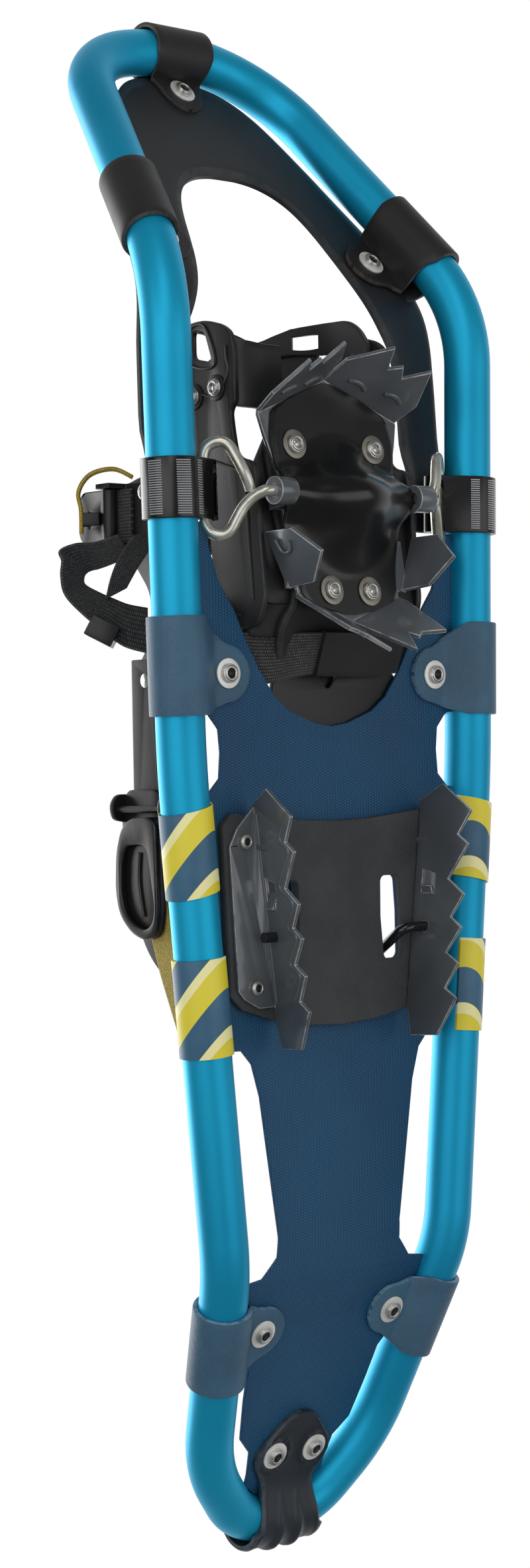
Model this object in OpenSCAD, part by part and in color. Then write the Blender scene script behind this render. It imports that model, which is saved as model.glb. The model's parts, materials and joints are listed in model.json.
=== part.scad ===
// Aluminium-frame snowshoe with a pivoting claw binding and a heel lift bail.
// Worn upright: +Y is the toe, +X the wearer's right, +Z the boot side.

/* [Frame tube] */
// Outside diameter of the frame tube
tube_d = 22.2; // [20:0.1:26]
// Wall of the frame tube
tube_wall = 1.6; // [1:0.1:3]
// Half width of the frame at the foot of the toe slope
upturn_x = 94; // [90:0.5:110]
// Distance of the toe upturn from the middle of the frame
upturn_y = 229; // [222:1:245]
// Bend radius where the rails turn up to the toe
upturn_r = 75; // [60:1:90]
// Slope of the toe
toe_slope = 41.4; // [39:0.1:43]
// Half width of the frame at the toe corners
toe_corner_x = 59; // [54:0.5:66]
// Distance of the toe corners from the middle of the frame
toe_corner_y = 346; // [342:0.5:352]
// Bend radius of the toe corners
toe_corner_r = 50; // [40:1:56]
// Distance of the toe crown from the middle of the frame
toe_mid_y = 360; // [356:0.5:364]
// Height of the toe crown over the rails
toe_mid_z = 109; // [106:0.5:112]
// Bend radius of the toe crown
toe_mid_r = 110; // [90:1:120]
// Half width of the frame at the waist
waist_x = 89; // [86:0.5:98]
// Place of the waist along the frame
waist_y = 8; // [0:1:20]
// Bend radius of the waist
waist_r = 585; // [400:5:700]
// Half width of the frame where the tail turns up
tail_kick_x = 69; // [66:0.5:76]
// Distance of the tail upturn from the middle of the frame
tail_kick_y = 217; // [212:1:226]
// Bend radius of the tail upturn
tail_kick_r = 75; // [60:1:90]
// Slope of the tail
tail_slope = 21.6; // [20:0.1:23]
// Half width of the frame at the tail corners
tail_corner_x = 51; // [48:0.5:56]
// Distance of the tail corners from the middle of the frame
tail_corner_y = 313; // [310:0.5:318]
// Bend radius of the tail corners
tail_corner_r = 75; // [60:1:85]
// Half length of the straight across the tail
tail_end_x = 21; // [20:0.5:23]
// Distance of the tail tube from the middle of the frame
tail_end_y = 347; // [345:0.5:350]
// Bend radius at the ends of the tail tube
tail_end_r = 35; // [30:1:36]
// Gap where the two tube ends meet
butt_gap = 0.4; // [0.2:0.1:1]

/* [Decks] */
// Thickness of the main deck sheet
deck_t = 1.6; // [1.2:0.1:2]
// Half width of the main deck beside the front slit
slit_front_x = 67; // [64:0.5:69]
// Front end of the slit between deck and tube
slit_front_y = 34; // [32:0.5:36]
// Rear end of the slit between deck and tube
slit_rear_y = -3; // [-4:0.5:0]
// Rear edge of the opening under the forefoot
hole_rear_y = 27; // [25:0.5:29]
// Thickness of the moulded toe deck
toe_deck_t = 3.5; // [2.5:0.1:4.5]
// Height of the toe deck legs over the rails
toe_leg_z = 21; // [19:0.5:23]
// Slope of the toe deck
toe_deck_slope = 36.4; // [35:0.1:38]
// Half width of the toe deck legs, outside
toe_leg_x = 91.5; // [90:0.5:93]
// Half width of the toe opening between the legs
toe_hole_x = 67; // [65:0.5:69]
// Front end of the toe opening
toe_hole_y = 291; // [286:0.5:296]
// Place of the crease where the toe deck turns up
toe_crease_y = 228; // [225:0.5:231]

/* [Clips and wraps] */
// Thickness of the rubber clips
clip_t = 2.4; // [1.8:0.1:3]
// Radius of the rounded clip lap
clip_lobe_r = 13; // [11:0.5:14]
// Length of the mid clips along the rail
mid_clip_l = 44; // [38:1:48]
// Place of the mid clips along the rail
mid_clip_y = 54; // [50:0.5:56]
// Place of the mid clip rivets
mid_rivet_y = 50.3; // [47:0.5:52]
// Half distance between the mid clip rivets
mid_rivet_x = 64.3; // [62:0.5:66]
// Length of the rear clips along the rail
rear_clip_l = 40; // [34:1:42]
// Distance of the rear clips past the tail upturn, along the slope
rear_clip_s = 38; // [36:0.5:42]
// Reach of the rear clip rivets from the tube centre
rear_reach = 22.5; // [21:0.5:24]
// Length of the front clips along the rail
front_clip_l = 44; // [36:1:46]
// Place of the front clips along the frame
front_clip_y = 261; // [258:0.5:264]
// Half distance between the front clip rivets
front_rivet_x = 64; // [62:0.5:66]
// Place of the front clip rivets
front_rivet_y = 250; // [248:0.5:252]
// Place of the toe clip rivet
toe_rivet_y = 336; // [334:0.5:337]
// Half width of the toe clip on the tube
toe_clip_w = 18; // [15:0.5:19]
// Thickness of the printed deck wraps
wrap_t = 0.9; // [0.6:0.1:1.2]
// Place of the fore wraps
fore_wrap_y = -28; // [-30:0.5:-27]
// Length of the fore wraps along the rail
fore_wrap_l = 42; // [38:0.5:43]
// Place of the aft wraps
aft_wrap_y = -97; // [-98:0.5:-96]
// Length of the aft wraps along the rail
aft_wrap_l = 44; // [38:0.5:45]

/* [Rivets] */
// Shank diameter of the deck and crampon rivets
rivet_d = 4.8; // [4:0.1:5]
// Head diameter of the rivets
rivet_head_d = 8.6; // [7.8:0.1:9]
// Height of the rivet heads
rivet_head_h = 1.6; // [1.2:0.1:2]
// Washer diameter
washer_d = 13.6; // [12:0.1:14]
// Washer thickness
washer_t = 0.9; // [0.6:0.1:1.2]

/* [Pivot] */
// Place of the pivot axis along the frame
pivot_y = 132; // [130:0.5:133]
// Depth of the pivot axis under the rails
pivot_drop = 18; // [17:0.5:19]
// Wire diameter of the pivot rings
ring_d = 5.3; // [4.8:0.1:5.6]
// Half width at the outer leg of the rings
ring_leg_x = 71; // [70:0.5:72]
// Length of the rings along the frame
ring_l = 50; // [46:0.5:52]
// Width of the pivot bands
band_w = 27; // [24:0.5:28]
// Thickness of the pivot bands
band_t = 2.4; // [2:0.1:2.6]
// Outside diameter of the pivot ears
ear_d = 12.7; // [11:0.1:13.4]
// Half width over the pivot ears
ear_x = 48; // [47:0.5:49]

/* [Crampon] */
// Forward tilt of the crampon plate
plate_tilt = 8.3; // [7:0.1:9]
// Height of the cover face over the pivot axis
cover_w = 9.06; // [8.8:0.02:9.4]
// Thickness of the moulded cover
cover_t = 1.3; // [1:0.1:1.6]
// Thickness of the crampon steel
steel_t = 2; // [1.6:0.1:2.2]
// Half distance between the front cover rivets
plate_rivet_x = 24.3; // [22:0.5:26]
// Half distance between the rear cover rivets
plate_rear_x = 11.7; // [11:0.1:13]
// Depth of the rear claw tips
claw_tip_drop = 50.3; // [48:0.1:51]

/* [Heel] */
// Thickness of the heel pad
pad_t = 3.8; // [3:0.1:4.4]
// Thickness of the heel bracket steel
bracket_t = 1.8; // [1.4:0.1:2.2]
// Depth of the bracket teeth
tooth_drop = 28; // [26:0.1:29]
// Wire diameter of the heel lift
bail_d = 4.8; // [4.2:0.1:5]
// Place of the heel lift axis along the frame
bail_y = -67.4; // [-68:0.1:-67]
// Depth of the heel lift axis under the deck
bail_drop = 12.5; // [12:0.1:13]
// Half width of the heel lift
bail_x = 32; // [31.5:0.1:32.5]
// Reach of the stowed heel lift behind its axis
bail_l = 60; // [54:0.5:64]

/* [Binding] */
// Thickness of the footbed
footbed_t = 3; // [2.4:0.1:3.4]
// Thickness of the moulded harness wings
wing_t = 3; // [2.4:0.1:3.2]
// Half width between the harness wings
wing_x = 46; // [45:0.5:47]
// Half width of the heel plate
heel_plate_x = 27; // [24:0.5:27.5]
// Rear end of the heel plate
heel_plate_y = -76; // [-80:1:-70]
// Thickness of the rubber heel strap
heel_strap_t = 3.4; // [2.6:0.1:3.6]
// Width of the rubber heel strap
heel_strap_w = 24; // [20:0.5:26]
// Height of the heel strap's lower edge
heel_strap_z = 57; // [57:0.5:60]
// Width of the instep webbing
web_w = 25; // [20:0.5:26]
// Thickness of the webbing
web_t = 1.8; // [1.2:0.1:2]
// Place of the instep strap along the foot
instep_y = 128; // [126:0.5:132]
// Height at which the instep strap starts to arch
instep_z = 96; // [94:0.5:104]
// Thickness of the toe loop
loop_t = 2.8; // [2:0.1:3.2]
// Width of the toe loop
loop_w = 22; // [18:0.5:24]
// Rear edge of the toe loop
loop_y = 187; // [184:0.5:188]
// Thickness of the buckle plates
buckle_t = 2; // [1.6:0.1:2.6]
// Radius of the buckle pins
pin_r = 1.6; // [1.4:0.1:1.8]
// Radius of the instep lever's barrel
barrel_r = 3.6; // [3.2:0.1:4]

/* [Hidden] */
fit = 0.08;
gap = 0.3;
loop_r = wing_x - 0.15;
pin_gap = 0.05;
tube_r = tube_d / 2;
bore_r = tube_r - tube_wall;
clip_r = tube_r + fit + clip_t;
wire_r = ring_d / 2;
bail_r = bail_d / 2;
pivot = [0, pivot_y, -pivot_drop];
toe_corner_z = (toe_corner_y - upturn_y) * tan(toe_slope);
tail_corner_z = (tail_corner_y - tail_kick_y) * tan(tail_slope);
tail_end_z = (tail_end_y - tail_kick_y) * tan(tail_slope);
half_rail = [
  [tail_end_x, -tail_end_y, tail_end_z],
  [tail_corner_x, -tail_corner_y, tail_corner_z],
  [tail_kick_x, -tail_kick_y, 0],
  [waist_x, waist_y, 0],
  [upturn_x, upturn_y, 0],
  [toe_corner_x, toe_corner_y, toe_corner_z]
];
half_radii = [tail_end_r, tail_corner_r, tail_kick_r, waist_r, upturn_r, toe_corner_r];
rail = concat(
  [[butt_gap / 2, -tail_end_y, tail_end_z]],
  half_rail,
  [[0, toe_mid_y, toe_mid_z]],
  [for (i = [5:-1:0]) [-half_rail[i][0], half_rail[i][1], half_rail[i][2]]],
  [[-butt_gap / 2, -tail_end_y, tail_end_z]]
);
radii = concat([0], half_radii, [toe_mid_r], [for (i = [5:-1:0]) half_radii[i]], [0]);

plate_w = cover_w + cover_t + 0.02;
claw_w = plate_w + steel_t / 2;
rear_root = [-0.4, py(-57, claw_w), pz(-57, claw_w)];
rear_out = [-31.5, py(-45, claw_w), pz(-45, claw_w)];
rear_e = unit(rear_out - rear_root);
rear_f = unit([-0.353, -0.299, -0.887] - rear_e * ([-0.353, -0.299, -0.887] * rear_e));
rear_l = (claw_tip_drop + rear_root[2]) / -rear_f[2];
rear_tip_y = rear_root[1] + rear_l * rear_f[1];
last_tooth_y = -99.5;
last_tooth_z = -deck_t / 2 - pad_t - bracket_t / 2 - tooth_drop;
stance = atan((last_tooth_z + claw_tip_drop) / (rear_tip_y - last_tooth_y));
lift = claw_tip_drop * cos(stance) - rear_tip_y * sin(stance) + 0.3;
toe_far = toe_mid_y - 3.3;
toe_top = toe_mid_z - 1.4;
toe_end = toe_far * cos(stance) - toe_top * sin(stance) + clip_r;
tail_far = -tail_end_y * cos(stance) - tail_end_z * sin(stance) - clip_r;
y_shift = -(toe_end + tail_far) / 2;

function unit(v) = v / norm(v);
function turn_at(a, b, c) = acos(min(1, unit(b - a) * unit(c - b)));
function cut_at(P, R, i) = R[i] == 0 ? 0 : R[i] * tan(turn_at(P[i - 1], P[i], P[i + 1]) / 2);
function rail_x(y) = y > waist_y
  ? waist_x + (upturn_x - waist_x) * (y - waist_y) / (upturn_y - waist_y)
  : waist_x + (tail_kick_x - waist_x) * (y - waist_y) / (-tail_kick_y - waist_y);

module stand() translate([0, y_shift, lift]) rotate([stance, 0, 0]) children();
module both() { children(); mirror([1, 0, 0]) children(); }
module axes(o, x, y, z) {
  multmatrix([[x[0], y[0], z[0], o[0]], [x[1], y[1], z[1], o[1]], [x[2], y[2], z[2], o[2]], [0, 0, 0, 1]])
    children();
}
module rod(p, q, r) {
  z = unit(q - p);
  x = unit(abs(z[2]) > 0.9 ? cross([0, 1, 0], z) : cross([0, 0, 1], z));
  axes(p, x, cross(z, x), z) cylinder(h = norm(q - p), r = r, $fn = 32);
}
module bend(a, b, c, R, r) {
  turn = turn_at(a, b, c);
  u = unit(b - a);
  mid = b + unit(unit(c - b) - u) * R / cos(turn / 2);
  e = unit(b - u * R * tan(turn / 2) - mid);
  axes(mid, e, u, cross(e, u)) rotate_extrude(angle = turn, $fn = 48) translate([R, 0]) circle(r = r, $fn = 32);
}
// a round bar through points P with bend radii R, from piece i to piece j; its bends stand a hair proud
proud = 1.015;
seat = 0.15;
module bar(P, R, r, i = 0, j = -1) {
  last = j < 0 ? len(P) - 2 : j;
  for (k = [i:last]) {
    u = unit(P[k + 1] - P[k]);
    rod(P[k] + u * (cut_at(P, R, k) - (k > i ? seat : 0)), P[k + 1] - u * (cut_at(P, R, k + 1) - (k < last ? seat : 0)), r);
    if (k < last) bend(P[k], P[k + 1], P[k + 2], R[k + 1], r * proud);
  }
}
module round2d(r) offset(r = r, $fn = 32) offset(r = -r, $fn = 32) children();
module fillet2d(r) offset(r = -r, $fn = 32) offset(r = r, $fn = 32) children();
module slab(z, t) translate([0, 0, z]) linear_extrude(t) children();
// a side profile in Y and Z, as wide as w
module across(w) translate([-w / 2, 0, 0]) rotate([90, 0, 90]) linear_extrude(w) children();

// local frames on the rails, X outward, Y along the rail, Z to the boot
module on_rail(y) {
  t = unit(y > waist_y ? half_rail[4] - half_rail[3] : half_rail[3] - half_rail[2]);
  axes([rail_x(y), y, 0], cross(t, [0, 0, 1]), t, [0, 0, 1]) children();
}
module on_tail() {
  p = half_rail[2];
  t = unit(p - half_rail[1]);
  n = [0, sin(tail_slope), cos(tail_slope)];
  axes(p - t * rear_clip_s, cross(t, n), t, n) children();
}
module tail_plane() translate([0, -tail_kick_y, 0]) rotate([-tail_slope, 0, 0]) children();
module toe_plane() translate([0, toe_crease_y, toe_leg_z]) rotate([toe_deck_slope, 0, 0]) children();

module frame_tube() color("#1189bd") stand() difference() {
  bar(rail, radii, tube_r);
  bar(concat([rail[0] - [1, 0, 0]], [for (i = [1:13]) rail[i]], [rail[14] + [1, 0, 0]]), radii, bore_r);
}
splice_l = 2 * (tail_end_x - tail_end_r * tan(turn_at(rail[0], rail[1], rail[2]) / 2));
module frame_splice() color("silver") stand()
  rod([-splice_l / 2, -tail_end_y, tail_end_z], [splice_l / 2, -tail_end_y, tail_end_z], bore_r - fit);

slot_pts = [[28.6, -46], [35, -46], [36, -60], [36, -79], [30, -79], [28.4, -62]];
module lift_slot() offset(r = 3, $fn = 32) polygon(slot_pts);
deck_edge = [[0, hole_rear_y], [10, hole_rear_y + 1.4], [25.5, hole_rear_y + 7], [34.5, hole_rear_y + 13.6],
  [43.3, 52.6], [51.2, 66.2], [57.9, 79.8], [66.5, 91.7], [71.9, 108], [73, pivot_y - band_w / 2 - gap],
  [rail_x(pivot_y), pivot_y - band_w / 2 - gap], [rail_x(slit_front_y), slit_front_y],
  [slit_front_x + 7, slit_front_y - 1], [slit_front_x + 1, slit_front_y - 8],
  [slit_front_x, (slit_front_y + slit_rear_y) / 2], [slit_front_x + 1, slit_rear_y + 7],
  [slit_front_x + 7, slit_rear_y + 1], [rail_x(slit_rear_y), slit_rear_y],
  [rail_x(-118), -118], [58, -118.5], [52, -125], [47.5, -140], [44.7, -159], [40, -190], [37.6, -205],
  [38, -214], [45.6, -223], [tail_kick_x - 1.7, -226], [tail_kick_x - 8.4, -262], [44, -263], [40.5, -268],
  [38, -284], [34, -303], [26, -311], [24, -322], [23, -tail_end_y], [0, -tail_end_y]];
kick_t = tail_kick_r * tan(tail_slope / 2);
// centre line of the main deck from the side, h above it
function deck_line(h) = concat([[130, h]],
  [for (a = [0:tail_slope / 6:tail_slope + 0.01])
    [-tail_kick_y + kick_t - (tail_kick_r - h) * sin(a), tail_kick_r - (tail_kick_r - h) * cos(a)]],
  [[-tail_kick_y - 150 * cos(tail_slope) + h * sin(tail_slope), 150 * sin(tail_slope) + h * cos(tail_slope)]]);
function reversed(P) = [for (i = [len(P) - 1:-1:0]) P[i]];
module mirrored(P) polygon(concat(P, [for (i = [len(P) - 1:-1:0]) [-P[i][0], P[i][1]]]));
tail_path = concat([half_rail[4], half_rail[3], half_rail[2], half_rail[1], half_rail[0]],
  [for (i = [0:4]) [-half_rail[i][0], half_rail[i][1], half_rail[i][2]]]);
tail_radii = [0, waist_r, tail_kick_r, tail_corner_r, tail_end_r, tail_end_r, tail_corner_r, tail_kick_r, waist_r, 0];
module main_deck() color("#23465f") stand() difference() {
  intersection() {
    across(240) polygon(concat(deck_line(-deck_t / 2), reversed(deck_line(deck_t / 2))));
    slab(-20, 120) round2d(2.5) mirrored(deck_edge);
  }
  bar(tail_path, tail_radii, tube_r + gap);
  both() {
    slab(-9, 18) lift_slot();
    on_rail(mid_clip_y) translate([-mid_reach, mid_skew, -9]) cylinder(h = 18, d = rivet_d + 2 * fit, $fn = 32);
    for (p = bracket_holes) translate([p[0], p[1], -9]) cylinder(h = 18, d = bracket_rivet_d + 2 * fit, $fn = 32);
    on_tail() translate([-rear_reach, 0, -9]) cylinder(h = 18, d = rivet_d + 2 * fit, $fn = 32);
    tail_plane() translate([tail_rivet_x, tail_rivet_s, -9]) cylinder(h = 18, d = rivet_d + 2 * fit, $fn = 32);
  }
}

// rubber clip round the rail: lap of length reach to its rivet, skewed along the rail
module clip(len, reach, skew) difference() {
  intersection() {
    translate([0, len / 2, 0]) rotate([90, 0, 0]) linear_extrude(len) {
      hull() {
        circle(r = clip_r, $fn = 64);
        translate([washer_d / 2 + 0.4 - reach, -lap]) square([1, 2 * lap]);
      }
      translate([-reach - clip_lobe_r, -lap]) square([reach + clip_lobe_r, 2 * lap]);
    }
    slab(-30, 60) fillet2d(6) union() {
      translate([-13, -len / 2]) square([13 + clip_r + 1, len]);
      translate([-reach, skew]) circle(r = clip_lobe_r, $fn = 64);
      polygon([[-reach, skew - clip_lobe_r], [-reach, skew + clip_lobe_r], [-12, len / 2 - 1], [-12, -len / 2 + 1]]);
    }
  }
  translate([0, len / 2 + 1, 0]) rotate([90, 0, 0]) cylinder(h = len + 2, r = tube_r + fit, $fn = 64);
  translate([-reach - clip_lobe_r - 1, -len / 2 - 1, -deck_t / 2 - fit])
    cube([reach + clip_lobe_r + 1, len + 2, deck_t + 2 * fit]);
  translate([-reach, skew, -10]) cylinder(h = 20, d = rivet_d + 2 * fit, $fn = 32);
}
lap = deck_t / 2 + clip_t;
mid_reach = rail_x(mid_clip_y) - mid_rivet_x;
mid_skew = mid_rivet_y - mid_clip_y;
module mid_clips() color("#35566b") stand() both() on_rail(mid_clip_y) clip(mid_clip_l, mid_reach, mid_skew);
module rear_clips() color("#35566b") stand() both() on_tail() clip(rear_clip_l, rear_reach, 0);

// thin printed strip round the rail and onto the deck edge
module wrap(len, y, slant) on_rail(y) difference() {
  reach = rail_x(y) - 72.2;
  intersection() {
    translate([0, len / 2, 0]) rotate([90, 0, 0]) linear_extrude(len) hull() {
      circle(r = tube_r * proud + fit + wrap_t, $fn = 64);
      translate([-reach, -deck_t / 2 - wrap_t]) square([1, deck_t + 2 * wrap_t]);
    }
    slab(-30, 60) polygon([[14, -len / 2], [14, len / 2 - slant], [-reach - 1, len / 2], [-reach - 1, -len / 2 + slant]]);
  }
  translate([0, len / 2 + 1, 0]) rotate([90, 0, 0]) cylinder(h = len + 2, r = tube_r * proud + fit, $fn = 64);
  translate([-30, -len / 2 - 1, -deck_t / 2 - fit]) cube([30, len + 2, deck_t + 2 * fit]);
}
module fore_wraps() color("#c9bd35") stand() both() wrap(fore_wrap_l, fore_wrap_y, 4);
module aft_wraps() color("#c9bd35") stand() both() wrap(aft_wrap_l, aft_wrap_y, -5);

// moulded toe deck: two legs and a sloping front
module toe_outline() {
  difference() {
    round2d(4) polygon(concat(toe_edge, [for (i = [len(toe_edge) - 1:-1:0]) [-toe_edge[i][0], toe_edge[i][1]]]));
    round2d(5) polygon(concat(toe_hole, [for (i = [len(toe_hole) - 1:-1:0]) [-toe_hole[i][0], toe_hole[i][1]]]));
  }
}
toe_edge = [[toe_leg_x, pivot_y - band_w / 2 + 2], [toe_leg_x, 206], [toe_leg_x - 1, 236], [80, 262], [64.4, 289],
  [52.9, 302.3], [39.8, 315.3], [28.1, 330.3], [19, 343], [16, 352]];
toe_hole = [[toe_hole_x + 2, 100], [toe_hole_x, 185], [toe_hole_x, 204], [toe_hole_x - 7, 215], [toe_hole_x - 15, 226],
  [toe_hole_x - 23, 248], [toe_hole_x - 28, toe_hole_y - 21], [31, toe_hole_y - 10], [21, toe_hole_y - 3], [8, toe_hole_y]];
leg_low = tube_r + fit + band_t + 0.1;
module toe_profile() fillet2d(16) polygon([
  [pivot_y - band_w / 2, leg_low], [pivot_y + band_w / 2, leg_low], [pivot_y + band_w / 2 + 16, toe_leg_z - 1.6],
  [toe_crease_y - 28, toe_leg_z], [toe_crease_y, toe_leg_z],
  [toe_crease_y + 150, toe_leg_z + 150 * tan(toe_deck_slope)],
  [toe_crease_y + 150, toe_leg_z + 150 * tan(toe_deck_slope) + toe_deck_t / cos(toe_deck_slope)],
  [toe_crease_y - toe_deck_t * tan(toe_deck_slope / 2), toe_leg_z + toe_deck_t], [toe_crease_y - 28, toe_leg_z + toe_deck_t],
  [pivot_y + band_w / 2 + 15, toe_leg_z - 1.6 + toe_deck_t], [pivot_y + band_w / 2 - 1, leg_low + toe_deck_t],
  [pivot_y - band_w / 2, leg_low + toe_deck_t]]);
module toe_deck() color("#202427") stand() difference() {
  intersection() {
    across(220) toe_profile();
    slab(0, 160) toe_outline();
  }
  bar(rail, radii, tube_r + gap, 4, 9);
  intersection() {
    bar(rail, radii, clip_r + 0.2, 5, 8);
    union() {
      both() front_zone(0.2);
      translate([-toe_clip_w - 0.2, 320, 60]) cube([2 * toe_clip_w + 0.4, 80, 80]);
    }
  }
  toe_plane() {
    both() translate([front_rivet_x, front_rivet_s, -9]) cylinder(h = 18, d = rivet_d + 2 * fit, $fn = 32);
    translate([0, toe_rivet_s, -9]) cylinder(h = 18, d = rivet_d + 2 * fit, $fn = 32);
  }
  both() translate([rail_x(pivot_y), pivot_y, 0]) cylinder(h = 30, d = rivet_d + 2 * fit, $fn = 32);
}
front_rivet_s = (front_rivet_y - toe_crease_y) / cos(toe_deck_slope);
toe_rivet_s = (toe_rivet_y - toe_crease_y) / cos(toe_deck_slope);
module front_zone(g) {
  p = half_rail[4];
  t = unit(half_rail[5] - p);
  n = [0, -sin(toe_slope), cos(toe_slope)];
  s = (front_clip_y - p[1]) / t[1];
  axes(p + t * s, cross(t, n), t, n) translate([-22, -front_clip_l / 2 - g, -20]) cube([44, front_clip_l + 2 * g, 40]);
}
module front_clips() color("#2b2726") stand() both() difference() {
  union() {
    intersection() { bar(rail, radii, clip_r, 5, 5); front_zone(0); }
    intersection() {
      toe_plane() slab(-clip_t, clip_t) fillet2d(5) union() {
        translate([front_rivet_x, front_rivet_s]) circle(r = clip_lobe_r, $fn = 64);
        translate([front_rivet_x, front_rivet_s - clip_lobe_r]) square([22, 2 * clip_lobe_r + 8]);
      }
      union() { front_zone(-1); translate([40, 200, 0]) cube([38, 90, 120]); }
    }
  }
  bar(rail, radii, tube_r + fit, 4, 6);
  toe_plane() translate([front_rivet_x, front_rivet_s, -9]) cylinder(h = 18, d = rivet_d + 2 * fit, $fn = 32);
}
module toe_clip() color("#2b2726") stand() difference() {
  union() {
    intersection() {
      bar(rail, radii, clip_r, 6, 7);
      translate([-toe_clip_w, 330, 70]) cube([2 * toe_clip_w, 60, 70]);
    }
    intersection() {
      toe_plane() slab(-clip_t, clip_t) fillet2d(6) union() {
        translate([0, toe_rivet_s]) circle(r = clip_lobe_r, $fn = 64);
        translate([-toe_clip_w, toe_rivet_s + 13]) square([2 * toe_clip_w, 14]);
        translate([-clip_lobe_r, toe_rivet_s]) square([2 * clip_lobe_r, 20]);
      }
      translate([-30, 300, 60]) cube([60, toe_far - 300, 80]);
    }
  }
  bar(rail, radii, tube_r + fit, 6, 7);
  toe_plane() translate([0, toe_rivet_s, -9]) cylinder(h = 18, d = rivet_d + 2 * fit, $fn = 32);
}

tail_rivet_x = 12.2;
tail_rivet_in = 34;
tail_rivet_s = -(tail_end_y - tail_rivet_in - tail_kick_y) / cos(tail_slope);
tail_tube_s = -(tail_end_y - tail_kick_y) / cos(tail_slope);
module tail_clip_plan() fillet2d(5) union() {
  round2d(5) polygon([[0, tail_rivet_s + 21], [16, tail_rivet_s + 8], [23, tail_rivet_s - 3], [16, tail_rivet_s - 12],
    [-16, tail_rivet_s - 12], [-23, tail_rivet_s - 3], [-16, tail_rivet_s + 8]]);
  translate([-15, tail_tube_s]) square([30, tail_rivet_s - tail_tube_s]);
  translate([-22, tail_tube_s - 20]) square([44, 28]);
}
module tail_clip() color("#2a3338") stand() difference() {
  union() {
    intersection() {
      bar(tail_path, tail_radii, clip_r, 3, 5);
      tail_plane() slab(-30, 60) tail_clip_plan();
    }
    intersection() {
      tail_plane() slab(-deck_t / 2 - clip_t, deck_t + 2 * clip_t) tail_clip_plan();
      tail_plane() translate([-40, tail_tube_s, -30]) cube([80, 80, 60]);
    }
  }
  bar(tail_path, tail_radii, tube_r + fit, 3, 5);
  tail_plane() {
    translate([-40, tail_tube_s, -deck_t / 2 - fit]) cube([80, 80, deck_t + 2 * fit]);
    both() translate([tail_rivet_x, tail_rivet_s, -9]) cylinder(h = 18, d = rivet_d + 2 * fit, $fn = 32);
  }
}

// rivets: head on the snow face, shank through, small head on the boot face
module rivet(low, high, d = rivet_d, hd = rivet_head_d) {
  difference() {
    union() {
      translate([0, 0, low - rivet_head_h]) cylinder(h = rivet_head_h, d = hd, $fn = 32);
      translate([0, 0, low]) cylinder(h = high - low, d = d, $fn = 32);
      translate([0, 0, high]) cylinder(h = 1.2, d = hd, $fn = 32);
    }
    translate([0, 0, low - rivet_head_h - 1]) cylinder(h = rivet_head_h + 2, d = 3, $fn = 32);
  }
}
module washer() difference() {
  translate([0, 0, -washer_t]) cylinder(h = washer_t, d = washer_d, $fn = 48);
  translate([0, 0, -2]) cylinder(h = 4, d = rivet_d + 2 * fit, $fn = 32);
}
module at_clips() {
  both() {
    on_rail(mid_clip_y) translate([-mid_reach, mid_skew, 0]) children(0);
    on_tail() translate([-rear_reach, 0, 0]) children(0);
    tail_plane() translate([tail_rivet_x, tail_rivet_s, 0]) children(0);
    toe_plane() translate([front_rivet_x, front_rivet_s, 0]) children(1);
  }
  toe_plane() translate([0, toe_rivet_s, 0]) children(1);
}
module clip_rivets() color("#c8c8c6") stand() {
  at_clips() {
    rivet(-lap - washer_t, lap);
    rivet(-clip_t - washer_t, toe_deck_t);
  }
  both() translate([rail_x(pivot_y), pivot_y, 0]) difference() {
    union() {
      translate([0, 0, tube_r + fit + 0.1]) cylinder(h = band_t + toe_deck_t, d = rivet_d, $fn = 32);
      translate([0, 0, leg_low + toe_deck_t]) cylinder(h = rivet_head_h, d = rivet_head_d, $fn = 32);
    }
  }
}
module clip_washers() color("#d8d6d0") stand() at_clips() {
  translate([0, 0, -lap]) washer();
  translate([0, 0, -clip_t]) washer();
}

// pivot bands and rings
module pivot_bands() color("#151516") stand() both() difference() {
  band();
  bar(ring_pts, ring_radii, wire_r + 0.2);
}
module band() on_rail(pivot_y) difference() {
  arm = rail_x(pivot_y) - ring_leg_x;
  translate([0, band_w / 2, 0]) rotate([90, 0, 0]) linear_extrude(band_w) difference() {
    hull() {
      circle(r = tube_r + fit + band_t, $fn = 64);
      translate([-arm, ring_sink]) circle(r = wire_r + fit + band_t, $fn = 48);
    }
    hull() {
      translate([-arm, ring_sink]) circle(r = wire_r + fit - 0.9, $fn = 48);
      translate([-tube_r - 2.5, 0]) square([1, 5], center = true);
    }
  }
  translate([0, band_w, 0]) rotate([90, 0, 0]) cylinder(h = 2 * band_w, r = tube_r + fit, $fn = 64);
  cylinder(h = 30, d = rivet_d + 2 * fit, $fn = 32);
}
ring_sink = 1.5;
ring_pts = [[ear_x - 10, pivot_y, -pivot_drop], [ear_x + 3.5, pivot_y, -pivot_drop],
  [ring_leg_x, pivot_y - ring_l / 2 - 1, -ring_sink], [ring_leg_x, pivot_y + ring_l / 2, -ring_sink],
  [ear_x + 6.8, pivot_y - 3.3, -pivot_drop + 2.8]];
ring_radii = [0, 4, 7, 7, 0];
module pivot_rings() color("#b9b7ae") stand() both() {
  bar(ring_pts, ring_radii, wire_r);
  translate(ring_pts[4]) sphere(r = wire_r, $fn = 32);
}

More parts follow.
